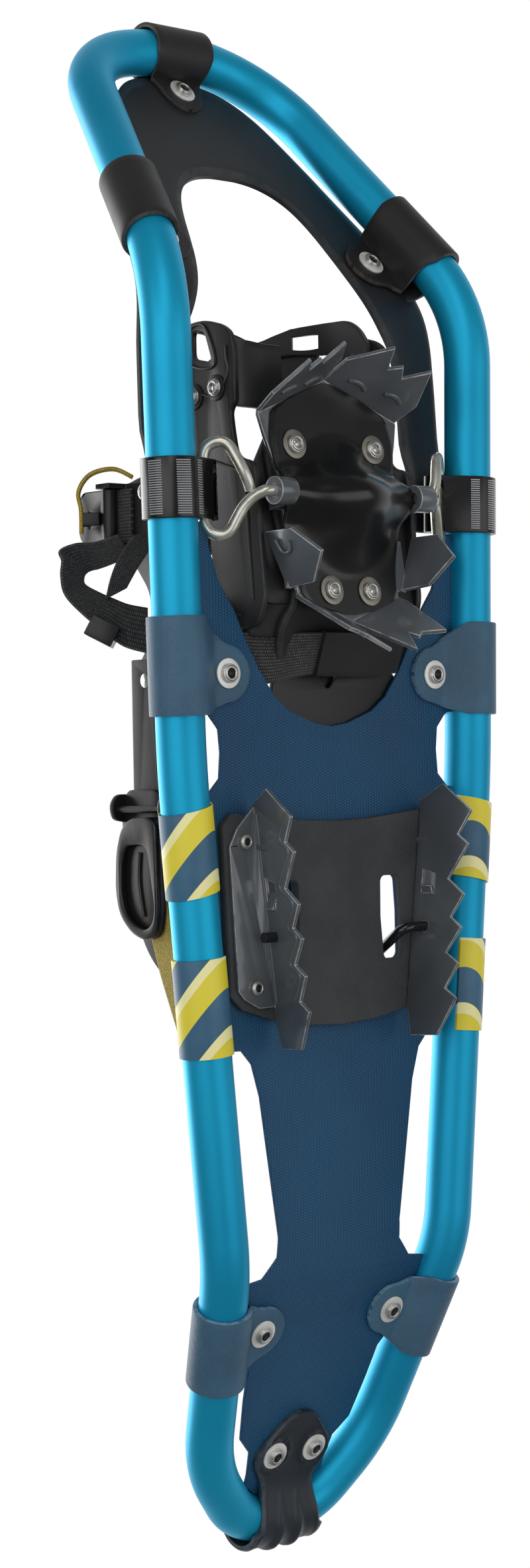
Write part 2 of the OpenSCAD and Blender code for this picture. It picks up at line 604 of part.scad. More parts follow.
// heel pad, brackets and lift
pad_low = -deck_t / 2 - pad_t;
bracket_rivet_d = 4;
bracket_holes = [[58.6, -24.4], [53.6, -90.2]];
module heel_pad() color("#2f3032") stand() slab(pad_low, pad_t - 0.02) both() difference() {
  round2d(3) polygon([[-8, -16.5], [0, -16.5], [20, -15.9], [64, -11.5], [70, -17], [67.5, -93], [60, -100], [42, -105.5],
    [20, -109.4], [0, -110.5], [-8, -110.5]]);
  translate([-10, -120]) square([10, 120]);
  lift_slot();
  for (p = bracket_holes) translate(p) circle(d = bracket_rivet_d + 2 * fit, $fn = 32);
}
blade_root = [52.4, -8.1, pad_low - bracket_t / 2 - 0.02];
blade_end = [41.6, -99.4, pad_low - bracket_t / 2 - 0.02];
blade_lean = 8;
teeth = [[-7.7, 12.3], [4.7, 1.8], [16.1, -5], [20.3, 1.3], [37, -9], [43.7, 0.6], [54.7, -6], [59.2, 0.4],
  [71.4, -7.5], [76, 0], [87.9, -6.6], [92.1, 0]];
module blade_frame() {
  e = unit(blade_end - blade_root);
  side = cross([0, 0, -1], e);
  f = unit([0, 0, -1] * cos(blade_lean) - side * sin(blade_lean));
  axes(blade_root, e, f, cross(e, f)) children();
}
module heel_brackets() color("#4a4c4f") stand() both() difference() {
  union() {
    slab(pad_low - bracket_t - 0.02, bracket_t) round2d(1) polygon([[52.4, -8.1], [63, -18.2], [67.7, -26.3], [63.8, -91.3],
      [60.4, -95.1], [51.9, -99.5], [41.6, -99.4]]);
    blade_frame() slab(-bracket_t / 2, bracket_t) difference() {
      polygon(concat([[0, 0]], [for (p = teeth) [p[0], p[1] + (p[0] < 0 ? 0 : tooth_drop)]],
        [[110, 18.5], [111, 3], [97, 0]]));
      polygon([[33, 4], [44, 4], [44, 11.5], [35, 11.5]]);
    }
    blade_frame() translate([43.6, 7.6, 0]) rotate([0, 60, 0]) cube([bracket_t, 6, 8], center = true);
  }
  translate([30, bail_y, -bail_drop]) rotate([0, 90, 0]) cylinder(h = 40, r = bail_r + pin_gap, $fn = 48);
  for (p = bracket_holes) translate([p[0], p[1], -12]) cylinder(h = 14, d = bracket_rivet_d + 2 * fit, $fn = 32);
}
module bracket_rivets() color("#8e8f90") stand() both() for (p = bracket_holes) translate([p[0], p[1], 0])
  rivet(pad_low - bracket_t - 0.02, deck_t / 2, bracket_rivet_d, 6.6);

bail_up = 20.5;
bail_back = bail_up * tan(35);
bail_half = [[54, 0, 0], [bail_x, 0, 0], [bail_x, -bail_back, bail_up], [bail_x, -bail_l, bail_up]];
bail_pts = concat([for (p = bail_half) p], [for (i = [3:-1:0]) [-bail_half[i][0], bail_half[i][1], bail_half[i][2]]]);
module heel_lift() color("#1b1b1d") stand() translate([0, bail_y, -bail_drop])
  bar(bail_pts, [0, 5, 6, 8, 8, 6, 5, 0], bail_r);

// crampon group, in the tilted plate frame through the pivot axis
module plate() translate(pivot) rotate([plate_tilt, 0, 0]) children();
plate_half = [[0, 57], [43, 39], [40, 27], [34, 9], [34, -24], [31, -45], [0, -57]];
cover_rivets = [[plate_rivet_x, 24.5], [plate_rear_x, -42.7]];
module v_claw(root, out, lean, pts) {
  e = unit(out - root);
  f = unit(lean - e * (lean * e));
  axes(root, e, f, cross(e, f)) slab(-steel_t / 2, steel_t) polygon(pts);
}
module toe_crampon() color("#3d3f42") stand() difference() {
  union() {
    plate() slab(plate_w, steel_t) round2d(2) mirrored(plate_half);
    both() {
      v_claw([-0.4, py(57, claw_w), pz(57, claw_w)], [-43, py(39, claw_w), pz(39, claw_w)], [-0.18, 0.424, -0.888],
        [[0, -0.6], [-1, 17], [11, 36.8], [18, 24.7], [22.7, 30.2], [27.5, 24.5], [35, 36.2], [45.7, 15.4], [45.4, -0.6]]);
      v_claw(rear_root, rear_out, rear_f, [[0, -0.6], [0.4, rear_l], [9.9, 26], [10.8, 31.6],
        [14.6, 29.6], [24, 36.5], [33.5, 6], [33.2, -0.6]]);
      side_claw();
      plate() {
        translate([ear_x - 10, 0, 0]) rotate([0, 90, 0]) cylinder(h = 10, d = ear_d, $fn = 64);
        translate([ear_x - 10, -6, 0]) cube([3, 12, plate_w + steel_t]);
        translate([30, -6, plate_w]) cube([ear_x - 27 - 10, 12, steel_t]);
      }
    }
  }
  translate([-60, pivot_y, -pivot_drop]) rotate([0, 90, 0]) cylinder(h = 120, r = wire_r + pin_gap, $fn = 48);
  plate() both() for (p = cover_rivets) translate([p[0], p[1], 0]) cylinder(h = 30, d = rivet_d + 2 * fit, $fn = 32);
}
// pentagonal claw under each side of the plate
module side_claw() {
  yaw = 23;
  translate([40.4, 102.5, 0]) rotate([0, 0, -yaw]) translate([steel_t / 2, 0, 0]) rotate([0, -90, 0])
    linear_extrude(steel_t) polygon([[-12.8, -14.4], [-9.3, 13], [-27, 13.4], [-41.9, 1.5], [-30.4, -12.6]]);
  plate() translate([29, -42, plate_w]) cube([8, 24, steel_t]);
}
module cover_hull(a) {
  hull() {
    plate_slice(40 - a, -20 + a, 15 - a, cover_w - 0.1 + a);
    plate_slice(38.6 - a, -9 + a, 9 - a, -2 + a);
  }
  hull() {
    plate_slice(33 - a, -28 + a, 12 - a, cover_w - 0.1 + a);
    plate_slice(12, 0, 23 - a, cover_w - 0.1 + a);
    plate_slice(25 - a, -16 + a, 15 - a, -4 + a);
    plate_slice(17 - a, -10 + a, 10 - a, -8.2 + a);
  }
}
module plate_slice(x, v0, v1, w) translate([0, (v0 + v1) / 2, w]) linear_extrude(0.2) offset(r = 7, $fn = 32)
  square([2 * x - 14, v1 - v0 - 14 + 0.02], center = true);
module crampon_cover() color("#131314") stand() difference() {
  plate() difference() {
    union() {
      slab(cover_w, cover_t) round2d(4) mirrored([[0, 55], [34, 41], [38, 27], [36, 12], [38, 8], [36, -12], [31, -28],
        [29, -45], [12, -52], [0, -54]]);
      cover_hull(0);
    }
    difference() { cover_hull(cover_t); translate([-60, -60, plate_w]) cube([120, 120, 10]); }
    translate([-30, -20, cover_w - 1]) cube([60, 40, 5]);
    both() translate([30, -8.4, -10]) cube([20, 16.8, 40]);
    both() for (p = cover_rivets) translate([p[0], p[1], 0]) cylinder(h = 30, d = rivet_d + 2 * fit, $fn = 32);
  }
  both() side_claw_room();
}
module side_claw_room() translate([40.4, 102.5, 0]) rotate([0, 0, -23]) translate([-2.6, -16, -45]) cube([6, 31, 50]);
stack = plate_w + steel_t + 0.02 + footbed_t;
module crampon_rivets() color("#d0d0cc") stand() plate() both() for (p = cover_rivets) translate([p[0], p[1], 0])
  rivet(cover_w - washer_t, stack + wing_t + 0.04);
module crampon_washers() color("#a9a8a2") stand() plate() both() for (p = cover_rivets)
  translate([p[0], p[1], cover_w]) washer();

// binding
bed_w = plate_w + steel_t + 0.02;
function py(v, w) = pivot_y + v * cos(plate_tilt) - w * sin(plate_tilt);
function pz(v, w) = -pivot_drop + v * sin(plate_tilt) + w * cos(plate_tilt);
heel_z = deck_t / 2 + gap + 0.1;
bed_bend = -50;
bed_rise = 48;
bed_pts = [[py(57, bed_w), pz(57, bed_w)], [py(bed_bend, bed_w), pz(bed_bend, bed_w)], [bed_rise, heel_z], [20, heel_z]];
bed_top = [py(bed_bend + 0.6, bed_w + footbed_t), pz(bed_bend + 0.6, bed_w + footbed_t)];
module footbed() color("#1d1d1f") stand() difference() {
  intersection() {
    across(100) polygon(concat(bed_pts, [[20, heel_z + footbed_t], [bed_rise + 0.6, heel_z + footbed_t],
      bed_top, [py(57, bed_w + footbed_t), pz(57, bed_w + footbed_t)]]));
    slab(-60, 120) round2d(6) mirrored([[0, 184], [30, 176], [38, 160], [38, 100], [28, 84], [21, 62], [20, 20], [0, 20]]);
  }
  plate() both() for (p = cover_rivets) translate([p[0], p[1], 0]) cylinder(h = 40, d = rivet_d + 2 * fit, $fn = 32);
  both() translate([heel_rivet_x, heel_rivet_y, -5]) cylinder(h = 20, d = bracket_rivet_d + 2 * fit, $fn = 32);
}
heel_rivet_x = 12;
heel_rivet_y = 37;
module heel_plate() color("#26272a") stand() difference() {
  union() {
    slab(heel_z + footbed_t + 0.02, footbed_t) round2d(5)
      mirrored([[0, 46], [22, 46], [heel_plate_x, 22], [heel_plate_x, heel_plate_y], [0, heel_plate_y]]);
    slab(heel_z, footbed_t + 0.1) round2d(3)
      mirrored([[0, 18], [heel_plate_x - 3, 18], [heel_plate_x - 3, heel_plate_y + 3], [0, heel_plate_y + 3]]);
  }
  both() translate([heel_rivet_x, heel_rivet_y, 0]) {
    translate([0, 0, -5]) cylinder(h = 20, d = bracket_rivet_d + 2 * fit, $fn = 32);
    translate([0, 0, heel_top - 1.3]) cylinder(h = 5, d = 7.3, $fn = 32);
  }
}
heel_top = heel_z + 2 * footbed_t + 0.02;

// harness wing: flange on the footbed and a side plate with its strap arms
wing_face = wing_x + wing_t;
wing_side = [[72, -8], [84, -14], [146, -6], [152, 9], [186, 12], [206, 20], [216, 28], [216, 42],
  [206, 49], [186, 50], [162, 47], [150, 58],
  [instep_y + 16, 84], [instep_y + 12, 98], [instep_y - 12, 98], [instep_y - 20, 84], [92, 71], [74, 67], [56, 81],
  [44, 81], [37, 68], [44, 55], [60, 50], [68, 30]];
wing_rivets = [[124, 46], [137, 40]];
loop_rivet = [196, 38];
strap_rivet = [50, heel_strap_z + heel_strap_w / 2];
instep_rivet = [instep_y, 84];
buckle_rivet = [instep_y, 66];
module cross_hole(p) translate([wing_x - 6, p[0], p[1]]) rotate([0, 90, 0])
  cylinder(h = 20, d = bracket_rivet_d + 2 * fit, $fn = 32);
module wing() color("#1d1d1f") stand() difference() {
  union() {
    translate([wing_x, 0, 0]) rotate([90, 0, 90]) linear_extrude(wing_t) difference() {
      round2d(5) polygon(wing_side);
      offset(r = 4, $fn = 32) polygon([[98, 26], [116, 28], [106, 44]]);
      offset(r = 2, $fn = 32) polygon([[204, 29], [211, 31], [211, 38], [205, 40]]);
    }
    plate() slab(bed_w + footbed_t + 0.02, wing_t) round2d(4) polygon([[9, 36], [30, 36], [wing_face, 12], [wing_face, -48],
      [7, -48.5], [7, -34], [26, -28], [26, 8], [9, 16]]);
  }
  plate() for (p = cover_rivets) translate([p[0], p[1], 0]) cylinder(h = 40, d = rivet_d + 2 * fit, $fn = 32);
  plate() translate([-70, -70, -50]) cube([140, 140, 50 + bed_w + footbed_t + 0.02]);
  for (p = concat(wing_rivets, [loop_rivet, strap_rivet, instep_rivet, buckle_rivet])) cross_hole(p);
}
module harness_right() wing();
module harness_left() mirror([1, 0, 0]) wing();
// rivet across the wing, from face x0 to face x1
module cross_rivet(p, x0, x1) translate([0, p[0], p[1]]) rotate([0, 90, 0]) mirror([0, 0, 1])
  rivet(-x1, -x0, bracket_rivet_d, 7);
module harness_rivets() color("#8e8f90") stand() {
  both() {
    for (p = wing_rivets) cross_rivet(p, wing_x, wing_face);
    cross_rivet(loop_rivet, wing_x - gap / 2 - loop_t, wing_face);
    cross_rivet(strap_rivet, wing_x, wing_face + 0.1 + heel_strap_t);
    translate([heel_rivet_x, heel_rivet_y, 0]) rivet(heel_z, heel_top - 1.3, bracket_rivet_d, 7);
  }
  cross_rivet(buckle_rivet, wing_x, buckle_x + buckle_t);
  mirror([1, 0, 0]) cross_rivet(instep_rivet, wing_x, wing_face + 0.1 + web_t);
}

// straps and buckles
module arch(r, w, t, a0, a1) rotate([0, 0, a0]) rotate_extrude(angle = a1 - a0, $fn = 96) translate([r, 0]) square([t, w]);
module toe_loop() color("#202022") stand() difference() {
  union() {
    translate([0, loop_y + loop_w, loop_rivet[1] + 4]) rotate([90, 0, 0]) arch(loop_r - loop_t, loop_w, loop_t, 0, 180);
    both() translate([loop_r - loop_t, loop_y, loop_rivet[1] - 9]) cube([loop_t, loop_w, 13]);
  }
  for (a = [40, 62, 118, 140]) translate([0, loop_y + loop_w / 2, loop_rivet[1] + 4]) rotate([0, -a, 0])
    translate([loop_r - 6, -3, -5]) cube([12, 6, 10]);
  both() cross_hole(loop_rivet);
}
bed_grade = (bed_top[1] - heel_z - footbed_t) / (bed_top[0] - bed_rise - 0.6);
function bed_over(y) = heel_z + footbed_t + (y - bed_rise - 0.6) * bed_grade + 0.15;
module underfoot_strap() color("#161617") stand() across(2 * wing_x - 0.2)
  polygon([[58, bed_over(58)], [79, bed_over(79)], [79, bed_over(79) + web_t], [58, bed_over(58) + web_t]]);
buckle_x = wing_face + 0.05;
buckle_w = web_w + 5.6;
pin_x = buckle_x + buckle_t + 0.25 + web_t + 0.25 + barrel_r;
pin_z = 89;
instep_r = (buckle_x + buckle_t + 0.25 + wing_face + 0.1) / 2;
instep_cx = (buckle_x + buckle_t + 0.25 - wing_face - 0.1) / 2;
module instep_strap() color("#161617") stand() difference() {
  translate([instep_cx, instep_y + web_w / 2, instep_z]) rotate([90, 0, 0]) {
    arch(instep_r, web_w, web_t, 0, 180);
    translate([-instep_r - web_t, 74 - instep_z, 0]) cube([web_t, instep_z - 74, web_w]);
    translate([instep_r, 78 - instep_z, 0]) cube([web_t, instep_z - 78, web_w]);
  }
  mirror([1, 0, 0]) cross_hole(instep_rivet);
}
module instep_buckle() color("#1d1d1f") stand() difference() {
  translate([buckle_x, instep_y, 0]) {
    translate([0, -buckle_w / 2, 60]) cube([buckle_t, buckle_w, 38]);
    for (s = [-buckle_w / 2, buckle_w / 2 - 2.4]) translate([0, s, pin_z - 5])
      cube([pin_x - buckle_x + barrel_r + 1, 2.4, 10]);
    translate([pin_x - buckle_x, -buckle_w / 2, pin_z]) rotate([-90, 0, 0]) cylinder(h = buckle_w, r = pin_r, $fn = 32);
  }
  cross_hole(buckle_rivet);
}
lever_l = 21;
module instep_lever() color("#18181a") stand() translate([pin_x, instep_y, pin_z]) difference() {
  union() {
    rotate([90, 0, 0]) cylinder(h = web_w, r = barrel_r, center = true, $fn = 48);
    translate([-0.6, -web_w / 2, 0]) cube([3, web_w, lever_l - 6]);
    translate([-0.6, -web_w / 2 + 6, 0]) cube([3, web_w - 12, lever_l]);
    for (s = [-1, 1]) translate([-0.6, s * (web_w / 2 - 6), lever_l - 6]) rotate([0, 90, 0]) cylinder(h = 3, r = 6, $fn = 48);
    lean_plane() translate([5.1, -4, -0.4]) cube([9.1, 6, 9.8]);
  }
  rotate([90, 0, 0]) cylinder(h = web_w + 2, r = pin_r + pin_gap, center = true, $fn = 32);
  lean_plane() translate([pull_q - 1.4, -5, pull_e - 0.4]) cube([2.8, 8, pull_w + 0.8]);
}
// the free webbing, in a plane leaning outward: X outward and up, Y along the foot
module lean_plane() axes([0, 0, 0], [0.755, 0, 0.656], [0, 1, 0], [-0.656, 0, 0.755]) children();
loop_path = [[91, 107], [106, 110.5], [119, 108], [123.5, 100], [122.5, 90], [112, 77], [98, 69.5], [84.8, 68]];
module path_band(P, t) fillet2d(4) for (i = [0:len(P) - 2]) {
  u = unit(P[i + 1] - P[i]);
  n = [-u[1], u[0]] * t / 2;
  polygon([P[i] - n - u * 0.3, P[i + 1] - n + u * 0.3, P[i + 1] + n + u * 0.3, P[i] + n - u * 0.3]);
}
module instep_tail() color("#161617") stand() lean_plane() slab(9, 20) path_band(loop_path, web_t);
module slide_buckle() color("#1d1d1f") stand() lean_plane() translate([105, 73.25, 6.6]) rotate([0, 0, 28.2]) difference() {
  translate([-7, -5, 0]) cube([14, 10, 24.8]);
  translate([-8, -web_t / 2 - 0.5, 2.1]) cube([16, web_t + 1, 20.6]);
}
// pull strap, held by its sewn end behind the lug on the lever
pull_q = 11.2;
pull_e = 1.3;
pull_w = 6.5;
pull_path = [[pull_q, -8], [pull_q, 3], [12.2, 12], [6.6, 20], [-4.4, 22.5], [-13.4, 18.5]];
module pull_loop() color("#c9bd35") stand() translate([pin_x, instep_y, pin_z]) lean_plane() slab(pull_e, pull_w) {
  path_band(pull_path, 1.8);
  translate([pull_q - 1, -9.6]) square([4, 3.4]);
}
strap_in = wing_face + 0.1;
heel_arc_y = -52;
module heel_strap() color("#202022") stand() difference() {
  translate([0, 0, heel_strap_z]) {
    both() translate([strap_in, heel_arc_y, 0]) cube([heel_strap_t, 60 - heel_arc_y, heel_strap_w]);
    translate([0, heel_arc_y, 0]) rotate([0, 0, 180]) rotate_extrude(angle = 180, $fn = 128)
      translate([strap_in, 0]) square([heel_strap_t, heel_strap_w]);
  }
  both() cross_hole(strap_rivet);
}
hb_x = strap_in + heel_strap_t + 0.1;
hb_t = 2.2;
hb_z = heel_strap_z - 2;
hb_w = heel_strap_w + 8;
hpin_x = hb_x + hb_t + 5.6;
hpin_y = -16;
module rounded_tail(len, w, t) {
  translate([0, -len, 0]) cube([t, len, w]);
  translate([0, -len, w / 2]) rotate([0, 90, 0]) cylinder(h = t, r = w / 2, $fn = 64);
}
module heel_buckle() color("#1b1b1d") stand() {
  translate([hb_x, -4, hb_z]) rounded_tail(36, hb_w, hb_t);
  for (z = [hb_z, hb_z + hb_w - 2.6]) translate([hb_x, -24, z]) cube([hpin_x - hb_x + 5, 18, 2.6]);
  translate([hpin_x, hpin_y, hb_z]) cylinder(h = hb_w, r = pin_r, $fn = 32);
}
module heel_lever() color("#232325") stand() difference() {
  union() {
    translate([hpin_x, hpin_y, hb_z + 2.9]) cylinder(h = hb_w - 5.8, r = 4, $fn = 48);
    translate([hpin_x - 0.5, hpin_y, hb_z + 2.9]) rounded_tail(30, hb_w - 5.8, 3.4);
  }
  translate([hpin_x, hpin_y, 0]) cylinder(h = 120, r = pin_r + pin_gap, $fn = 32);
}
tail_r = 300;
module strap_tail() color("#c9bd35") stand() translate([hb_x + hb_t + 0.15 - tail_r, -50, heel_strap_z + 3])
  rotate([0, 0, -15]) rotate_extrude(angle = 15, $fn = 360) translate([tail_r, 0]) square([1.6, heel_strap_w - 4]);

frame_tube();
frame_splice();
main_deck();
toe_deck();
toe_clip();
front_clips();
mid_clips();
rear_clips();
tail_clip();
fore_wraps();
aft_wraps();
clip_rivets();
clip_washers();
pivot_bands();
pivot_rings();
heel_pad();
heel_brackets();
bracket_rivets();
heel_lift();
toe_crampon();
crampon_cover();
crampon_rivets();
crampon_washers();
footbed();
heel_plate();
harness_right();
harness_left();
harness_rivets();
toe_loop();
underfoot_strap();
instep_strap();
instep_tail();
slide_buckle();
instep_buckle();
instep_lever();
pull_loop();
heel_strap();
heel_buckle();
heel_lever();
strap_tail();
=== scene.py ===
"""Dresses the packed snowshoe: smooth tube, soft-edged mouldings, woven deck and webbing, studio light."""
import bpy
import bmesh
import json
import math
from mathutils import Matrix, Vector


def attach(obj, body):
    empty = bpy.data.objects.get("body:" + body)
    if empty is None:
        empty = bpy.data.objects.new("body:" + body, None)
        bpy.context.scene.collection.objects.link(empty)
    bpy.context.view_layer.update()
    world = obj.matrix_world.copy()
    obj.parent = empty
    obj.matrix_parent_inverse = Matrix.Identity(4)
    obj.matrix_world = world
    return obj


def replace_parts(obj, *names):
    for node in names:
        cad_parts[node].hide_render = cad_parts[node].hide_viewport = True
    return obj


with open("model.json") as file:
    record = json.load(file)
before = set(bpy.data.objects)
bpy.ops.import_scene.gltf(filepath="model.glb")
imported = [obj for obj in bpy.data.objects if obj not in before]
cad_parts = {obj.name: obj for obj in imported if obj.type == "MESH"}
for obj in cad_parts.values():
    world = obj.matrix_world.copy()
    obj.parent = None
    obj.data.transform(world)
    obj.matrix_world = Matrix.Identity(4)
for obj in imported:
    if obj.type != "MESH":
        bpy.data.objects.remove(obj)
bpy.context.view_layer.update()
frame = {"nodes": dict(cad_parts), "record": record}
SLOT_OF = {s["node"]: s["material_slot"] for s in frame["record"]["subparts"]}
BODY_OF = {n: b for b, nodes in frame["record"]["behaviour"]["bodies"].items() for n in nodes}
MM = 0.001

# ---- the shoe's own frame, in millimetres, leaning on its claw tips in the row frame
STANCE = math.radians(6.02459)
RISE = Vector((0, 3.52444, 44.058))
STAND = Matrix.Scale(MM, 4) @ Matrix.Translation(RISE) @ Matrix.Rotation(STANCE, 4, "X")
TURN = Matrix.Rotation(STANCE, 3, "X")


def at(x, y, z):
    """A point of the shoe frame, in the row frame, in metres."""
    return STAND @ Vector((x, y, z))


def link(name, data):
    """A new object in the scene."""
    obj = bpy.data.objects.new(name, data)
    bpy.context.scene.collection.objects.link(obj)
    return obj


# ---- camera, below and beside the outer rail
EYE = Vector((890.362, 13.801, -977.448))
AHEAD = Vector((-0.65602731, -0.0098325, 0.7546731))
RIGHT = Vector((-0.75445673, -0.01871161, -0.65608302))
UP = Vector((-0.02057208, 0.99977657, -0.00485713))
SENSOR, FIELD = 24, 30.61  # sensor height in mm, vertical field in degrees
camera = bpy.data.cameras.new("camera")
camera.sensor_fit = "VERTICAL"
camera.sensor_height = SENSOR
camera.lens = SENSOR / 2 / math.tan(math.radians(FIELD) / 2)
camera.clip_start, camera.clip_end = 0.02, 50
viewer = link("camera", camera)
basis = Matrix([TURN @ RIGHT, TURN @ UP, TURN @ -AHEAD]).transposed().to_4x4()
viewer.matrix_world = Matrix.Translation(at(*EYE)) @ basis
bpy.context.scene.camera = viewer


# ---- materials
def colour(text):
    """Linear colour from a hex text."""
    parts = [int(text[i:i + 2], 16) / 255 for i in (1, 3, 5)]
    return [c / 12.92 if c < 0.04045 else ((c + 0.055) / 1.055) ** 2.4 for c in parts] + [1.0]


class Tree:
    """Short hand for building one node tree."""

    def __init__(self, tree):
        self.tree = tree

    def node(self, kind, ins=None, **settings):
        n = self.tree.nodes.new(kind)
        for key, value in settings.items():
            setattr(n, key, value)
        for key, value in (ins or {}).items():
            self.feed(n.inputs[key], value)
        return n

    def feed(self, socket, value):
        """Links a socket or sets a value; a text that starts with # is a colour."""
        if isinstance(value, bpy.types.NodeSocket):
            self.tree.links.new(value, socket)
        else:
            socket.default_value = colour(value) if str(value).startswith("#") else value

    def math(self, op, a, b=0.0, c=0.0, clamp=False):
        return self.node("ShaderNodeMath", {0: a, 1: b, 2: c}, operation=op, use_clamp=clamp).outputs[0]

    def times(self, a, b):
        return self.math("MULTIPLY", a, b)

    def plus(self, a, b):
        return self.math("ADD", a, b)

    def split(self, v):
        return self.node("ShaderNodeSeparateXYZ", {0: v}).outputs

    def join(self, x, y, z=0.0):
        return self.node("ShaderNodeCombineXYZ", {0: x, 1: y, 2: z}).outputs[0]

    def mix(self, t, a, b):
        n = self.node("ShaderNodeMix", data_type="RGBA")
        self.feed(n.inputs[0], t)
        self.feed(n.inputs[6], a)
        self.feed(n.inputs[7], b)
        return n.outputs[2]

    def noise(self, v, scale, detail, rough=0.5):
        ins = {"Vector": v, "Scale": scale, "Detail": detail, "Roughness": rough}
        return self.node("ShaderNodeTexNoise", ins).outputs[0]

    def smooth(self, value, low, high):
        ins = {0: value, 1: low, 2: high, 3: 0.0, 4: 1.0}
        return self.node("ShaderNodeMapRange", ins, interpolation_type="SMOOTHSTEP").outputs[0]

    def object_coords(self):
        return self.node("ShaderNodeTexCoord").outputs["Object"]

    def uv(self):
        return self.node("ShaderNodeUVMap", uv_map="run").outputs[0]

    def attribute(self, name):
        return self.node("ShaderNodeAttribute", attribute_name=name).outputs["Fac"]


def open_group(g, ins, outs):
    """Names a group's sockets. ins: (name, kind, value), outs: (name, kind); kinds lose their NodeSocket."""
    for key, kind, value in ins:
        s = g.interface.new_socket(key, in_out="INPUT", socket_type="NodeSocket" + kind)
        if value is not None:
            s.default_value = value
    for key, kind in outs:
        g.interface.new_socket(key, in_out="OUTPUT", socket_type="NodeSocket" + kind)
    t = Tree(g)
    return g, t, t.node("NodeGroupInput").outputs, t.node("NodeGroupOutput")


def new_group(name, ins, outs):
    """A shader node group with named sockets, and its tree and ends."""
    return open_group(bpy.data.node_groups.new(name, "ShaderNodeTree"), ins, outs)


def make_grain():
    """Fine moulded grain with a slow change of tone."""
    g, t, i, o = new_group("grain", [("Vector", "Vector", None), ("Size", "Float", 900.0), ("Patch", "Float", 18.0)],
                           [("Height", "Float"), ("Tone", "Float")])
    fine = t.noise(i["Vector"], i["Size"], 3.0, 0.6)
    slow = t.noise(i["Vector"], i["Patch"], 3.0, 0.55)
    t.feed(o.inputs["Height"], fine)
    t.feed(o.inputs["Tone"], t.smooth(slow, 0.3, 0.7))
    return g


def make_cells():
    """Rows of staggered rounded cells, as woven threads or pebbles lie."""
    g, t, i, o = new_group("staggered_cells", [("Vector", "Vector", None), ("Pitch X", "Float", 1.0),
                                               ("Pitch Y", "Float", 1.0), ("Stagger", "Float", 0.5)],
                           [("Height", "Float"), ("Cell", "Float")])
    x, y, _ = t.split(i["Vector"])
    u = t.math("DIVIDE", x, i["Pitch X"])
    column = t.math("FLOOR", u)
    v = t.math("ADD", t.math("DIVIDE", y, i["Pitch Y"]), t.math("MULTIPLY", column, i["Stagger"]))
    row = t.math("FLOOR", v)
    parts = []
    for w in (u, v):
        c = t.math("MULTIPLY_ADD", t.math("FRACT", w), 2.0, -1.0)
        parts.append(t.math("SUBTRACT", 1.0, t.math("MULTIPLY", c, c)))
    t.feed(o.inputs["Height"], t.math("MULTIPLY", *parts))
    cell = t.node("ShaderNodeTexWhiteNoise", {"Vector": t.join(column, row)}, noise_dimensions="2D")
    t.feed(o.inputs["Cell"], cell.outputs["Value"])
    return g


def make_wear():
    """Worn edges: the softened edge faces, broken up by noise."""
    g, t, i, o = new_group("edge_wear", [("Vector", "Vector", None), ("Worn", "Float", 0.0),
                                         ("Patch", "Float", 120.0), ("Amount", "Float", 0.7)], [("Mask", "Float")])
    broken = t.smooth(t.noise(i["Vector"], i["Patch"], 4.0, 0.7), 0.30, 0.62)
    t.feed(o.inputs["Mask"], t.math("MULTIPLY", t.math("MULTIPLY", broken, i["Worn"]), i["Amount"], clamp=True))
    return g


GRAIN, CELLS, WEAR = make_grain(), make_cells(), make_wear()


def use(t, group, **ins):
    """The outputs of a shared group, fed by name; _ stands for a space."""
    n = t.node("ShaderNodeGroup")
    n.node_tree = group
    for key, value in ins.items():
        t.feed(n.inputs[key.replace("_", " ")], value)
    return n.outputs


MAT = {}


def finish(name, paint, **plain):
    """Files a material in MAT. paint(tree) gives its linked sockets; plain ones are set on the shader itself."""
    m = bpy.data.materials.new(name)
    m.use_nodes = True
    t = Tree(m.node_tree)
    shader = m.node_tree.nodes["Principled BSDF"]
    for key, value in plain.items():
        shader.inputs[key.replace("_", " ")].default_value = value
    linked = paint(t)
    height, depth = linked.pop("Height", None), linked.pop("Depth", 0.0001)
    for key, value in linked.items():
        t.feed(shader.inputs[key], value)
    if height is not None:
        bump = t.node("ShaderNodeBump", {"Height": height, "Distance": depth, "Strength": 1.0})
        t.feed(shader.inputs["Normal"], bump.outputs[0])
    m.diffuse_color = shader.inputs["Base Color"].default_value
    MAT[name] = m


def coat(tone, rough, height, depth):
    """What a paint gives: linked colour and roughness, and the height and depth in metres of its relief."""
    return {"Base Color": tone, "Roughness": rough, "Height": height, "Depth": depth}


def grained(t, dark, light, size, patch=18.0):
    """Object coordinates, the grain laid on them, and a tone from dark to light that follows the grain."""
    v = t.object_coords()
    g = use(t, GRAIN, Vector=v, Size=size, Patch=patch)
    return v, g, t.mix(g["Tone"], dark, light)


def moulded(name, dark, light, rough, size=900.0, depth=0.00005, edge=None, amount=0.6, rough_edge=0.35, **plain):
    """Moulded or painted stuff: grain, a slow change of tone, and worn edges where edge is a colour."""

    def paint(t):
        v, g, tone = grained(t, dark, light, size)
        r = t.math("MULTIPLY_ADD", g["Tone"], 0.12, rough - 0.06)
        if edge:
            mask = use(t, WEAR, Vector=v, Worn=t.attribute("worn"), Amount=amount)["Mask"]
            tone = t.mix(mask, tone, edge)
            r = t.plus(r, t.times(mask, rough_edge - rough))
        return coat(tone, r, g["Height"], depth)

    finish(name, paint, **plain)


def anodised(t):
    """Drawn tube under satin blue anodising: faint streaks along the tube."""
    x, y, _ = t.split(t.uv())
    streak = t.noise(t.join(t.times(x, 4.0), t.times(y, 900.0)), 1.0, 3.0, 0.6)
    slow = t.noise(t.object_coords(), 9.0, 2.0)
    fine = t.noise(t.object_coords(), 2600.0, 1.0)
    tone = t.mix(t.smooth(slow, 0.3, 0.7), "#0fa3d0", "#16b6e2")
    return coat(tone, t.math("MULTIPLY_ADD", streak, 0.08, 0.42), t.plus(streak, fine), 0.000012)


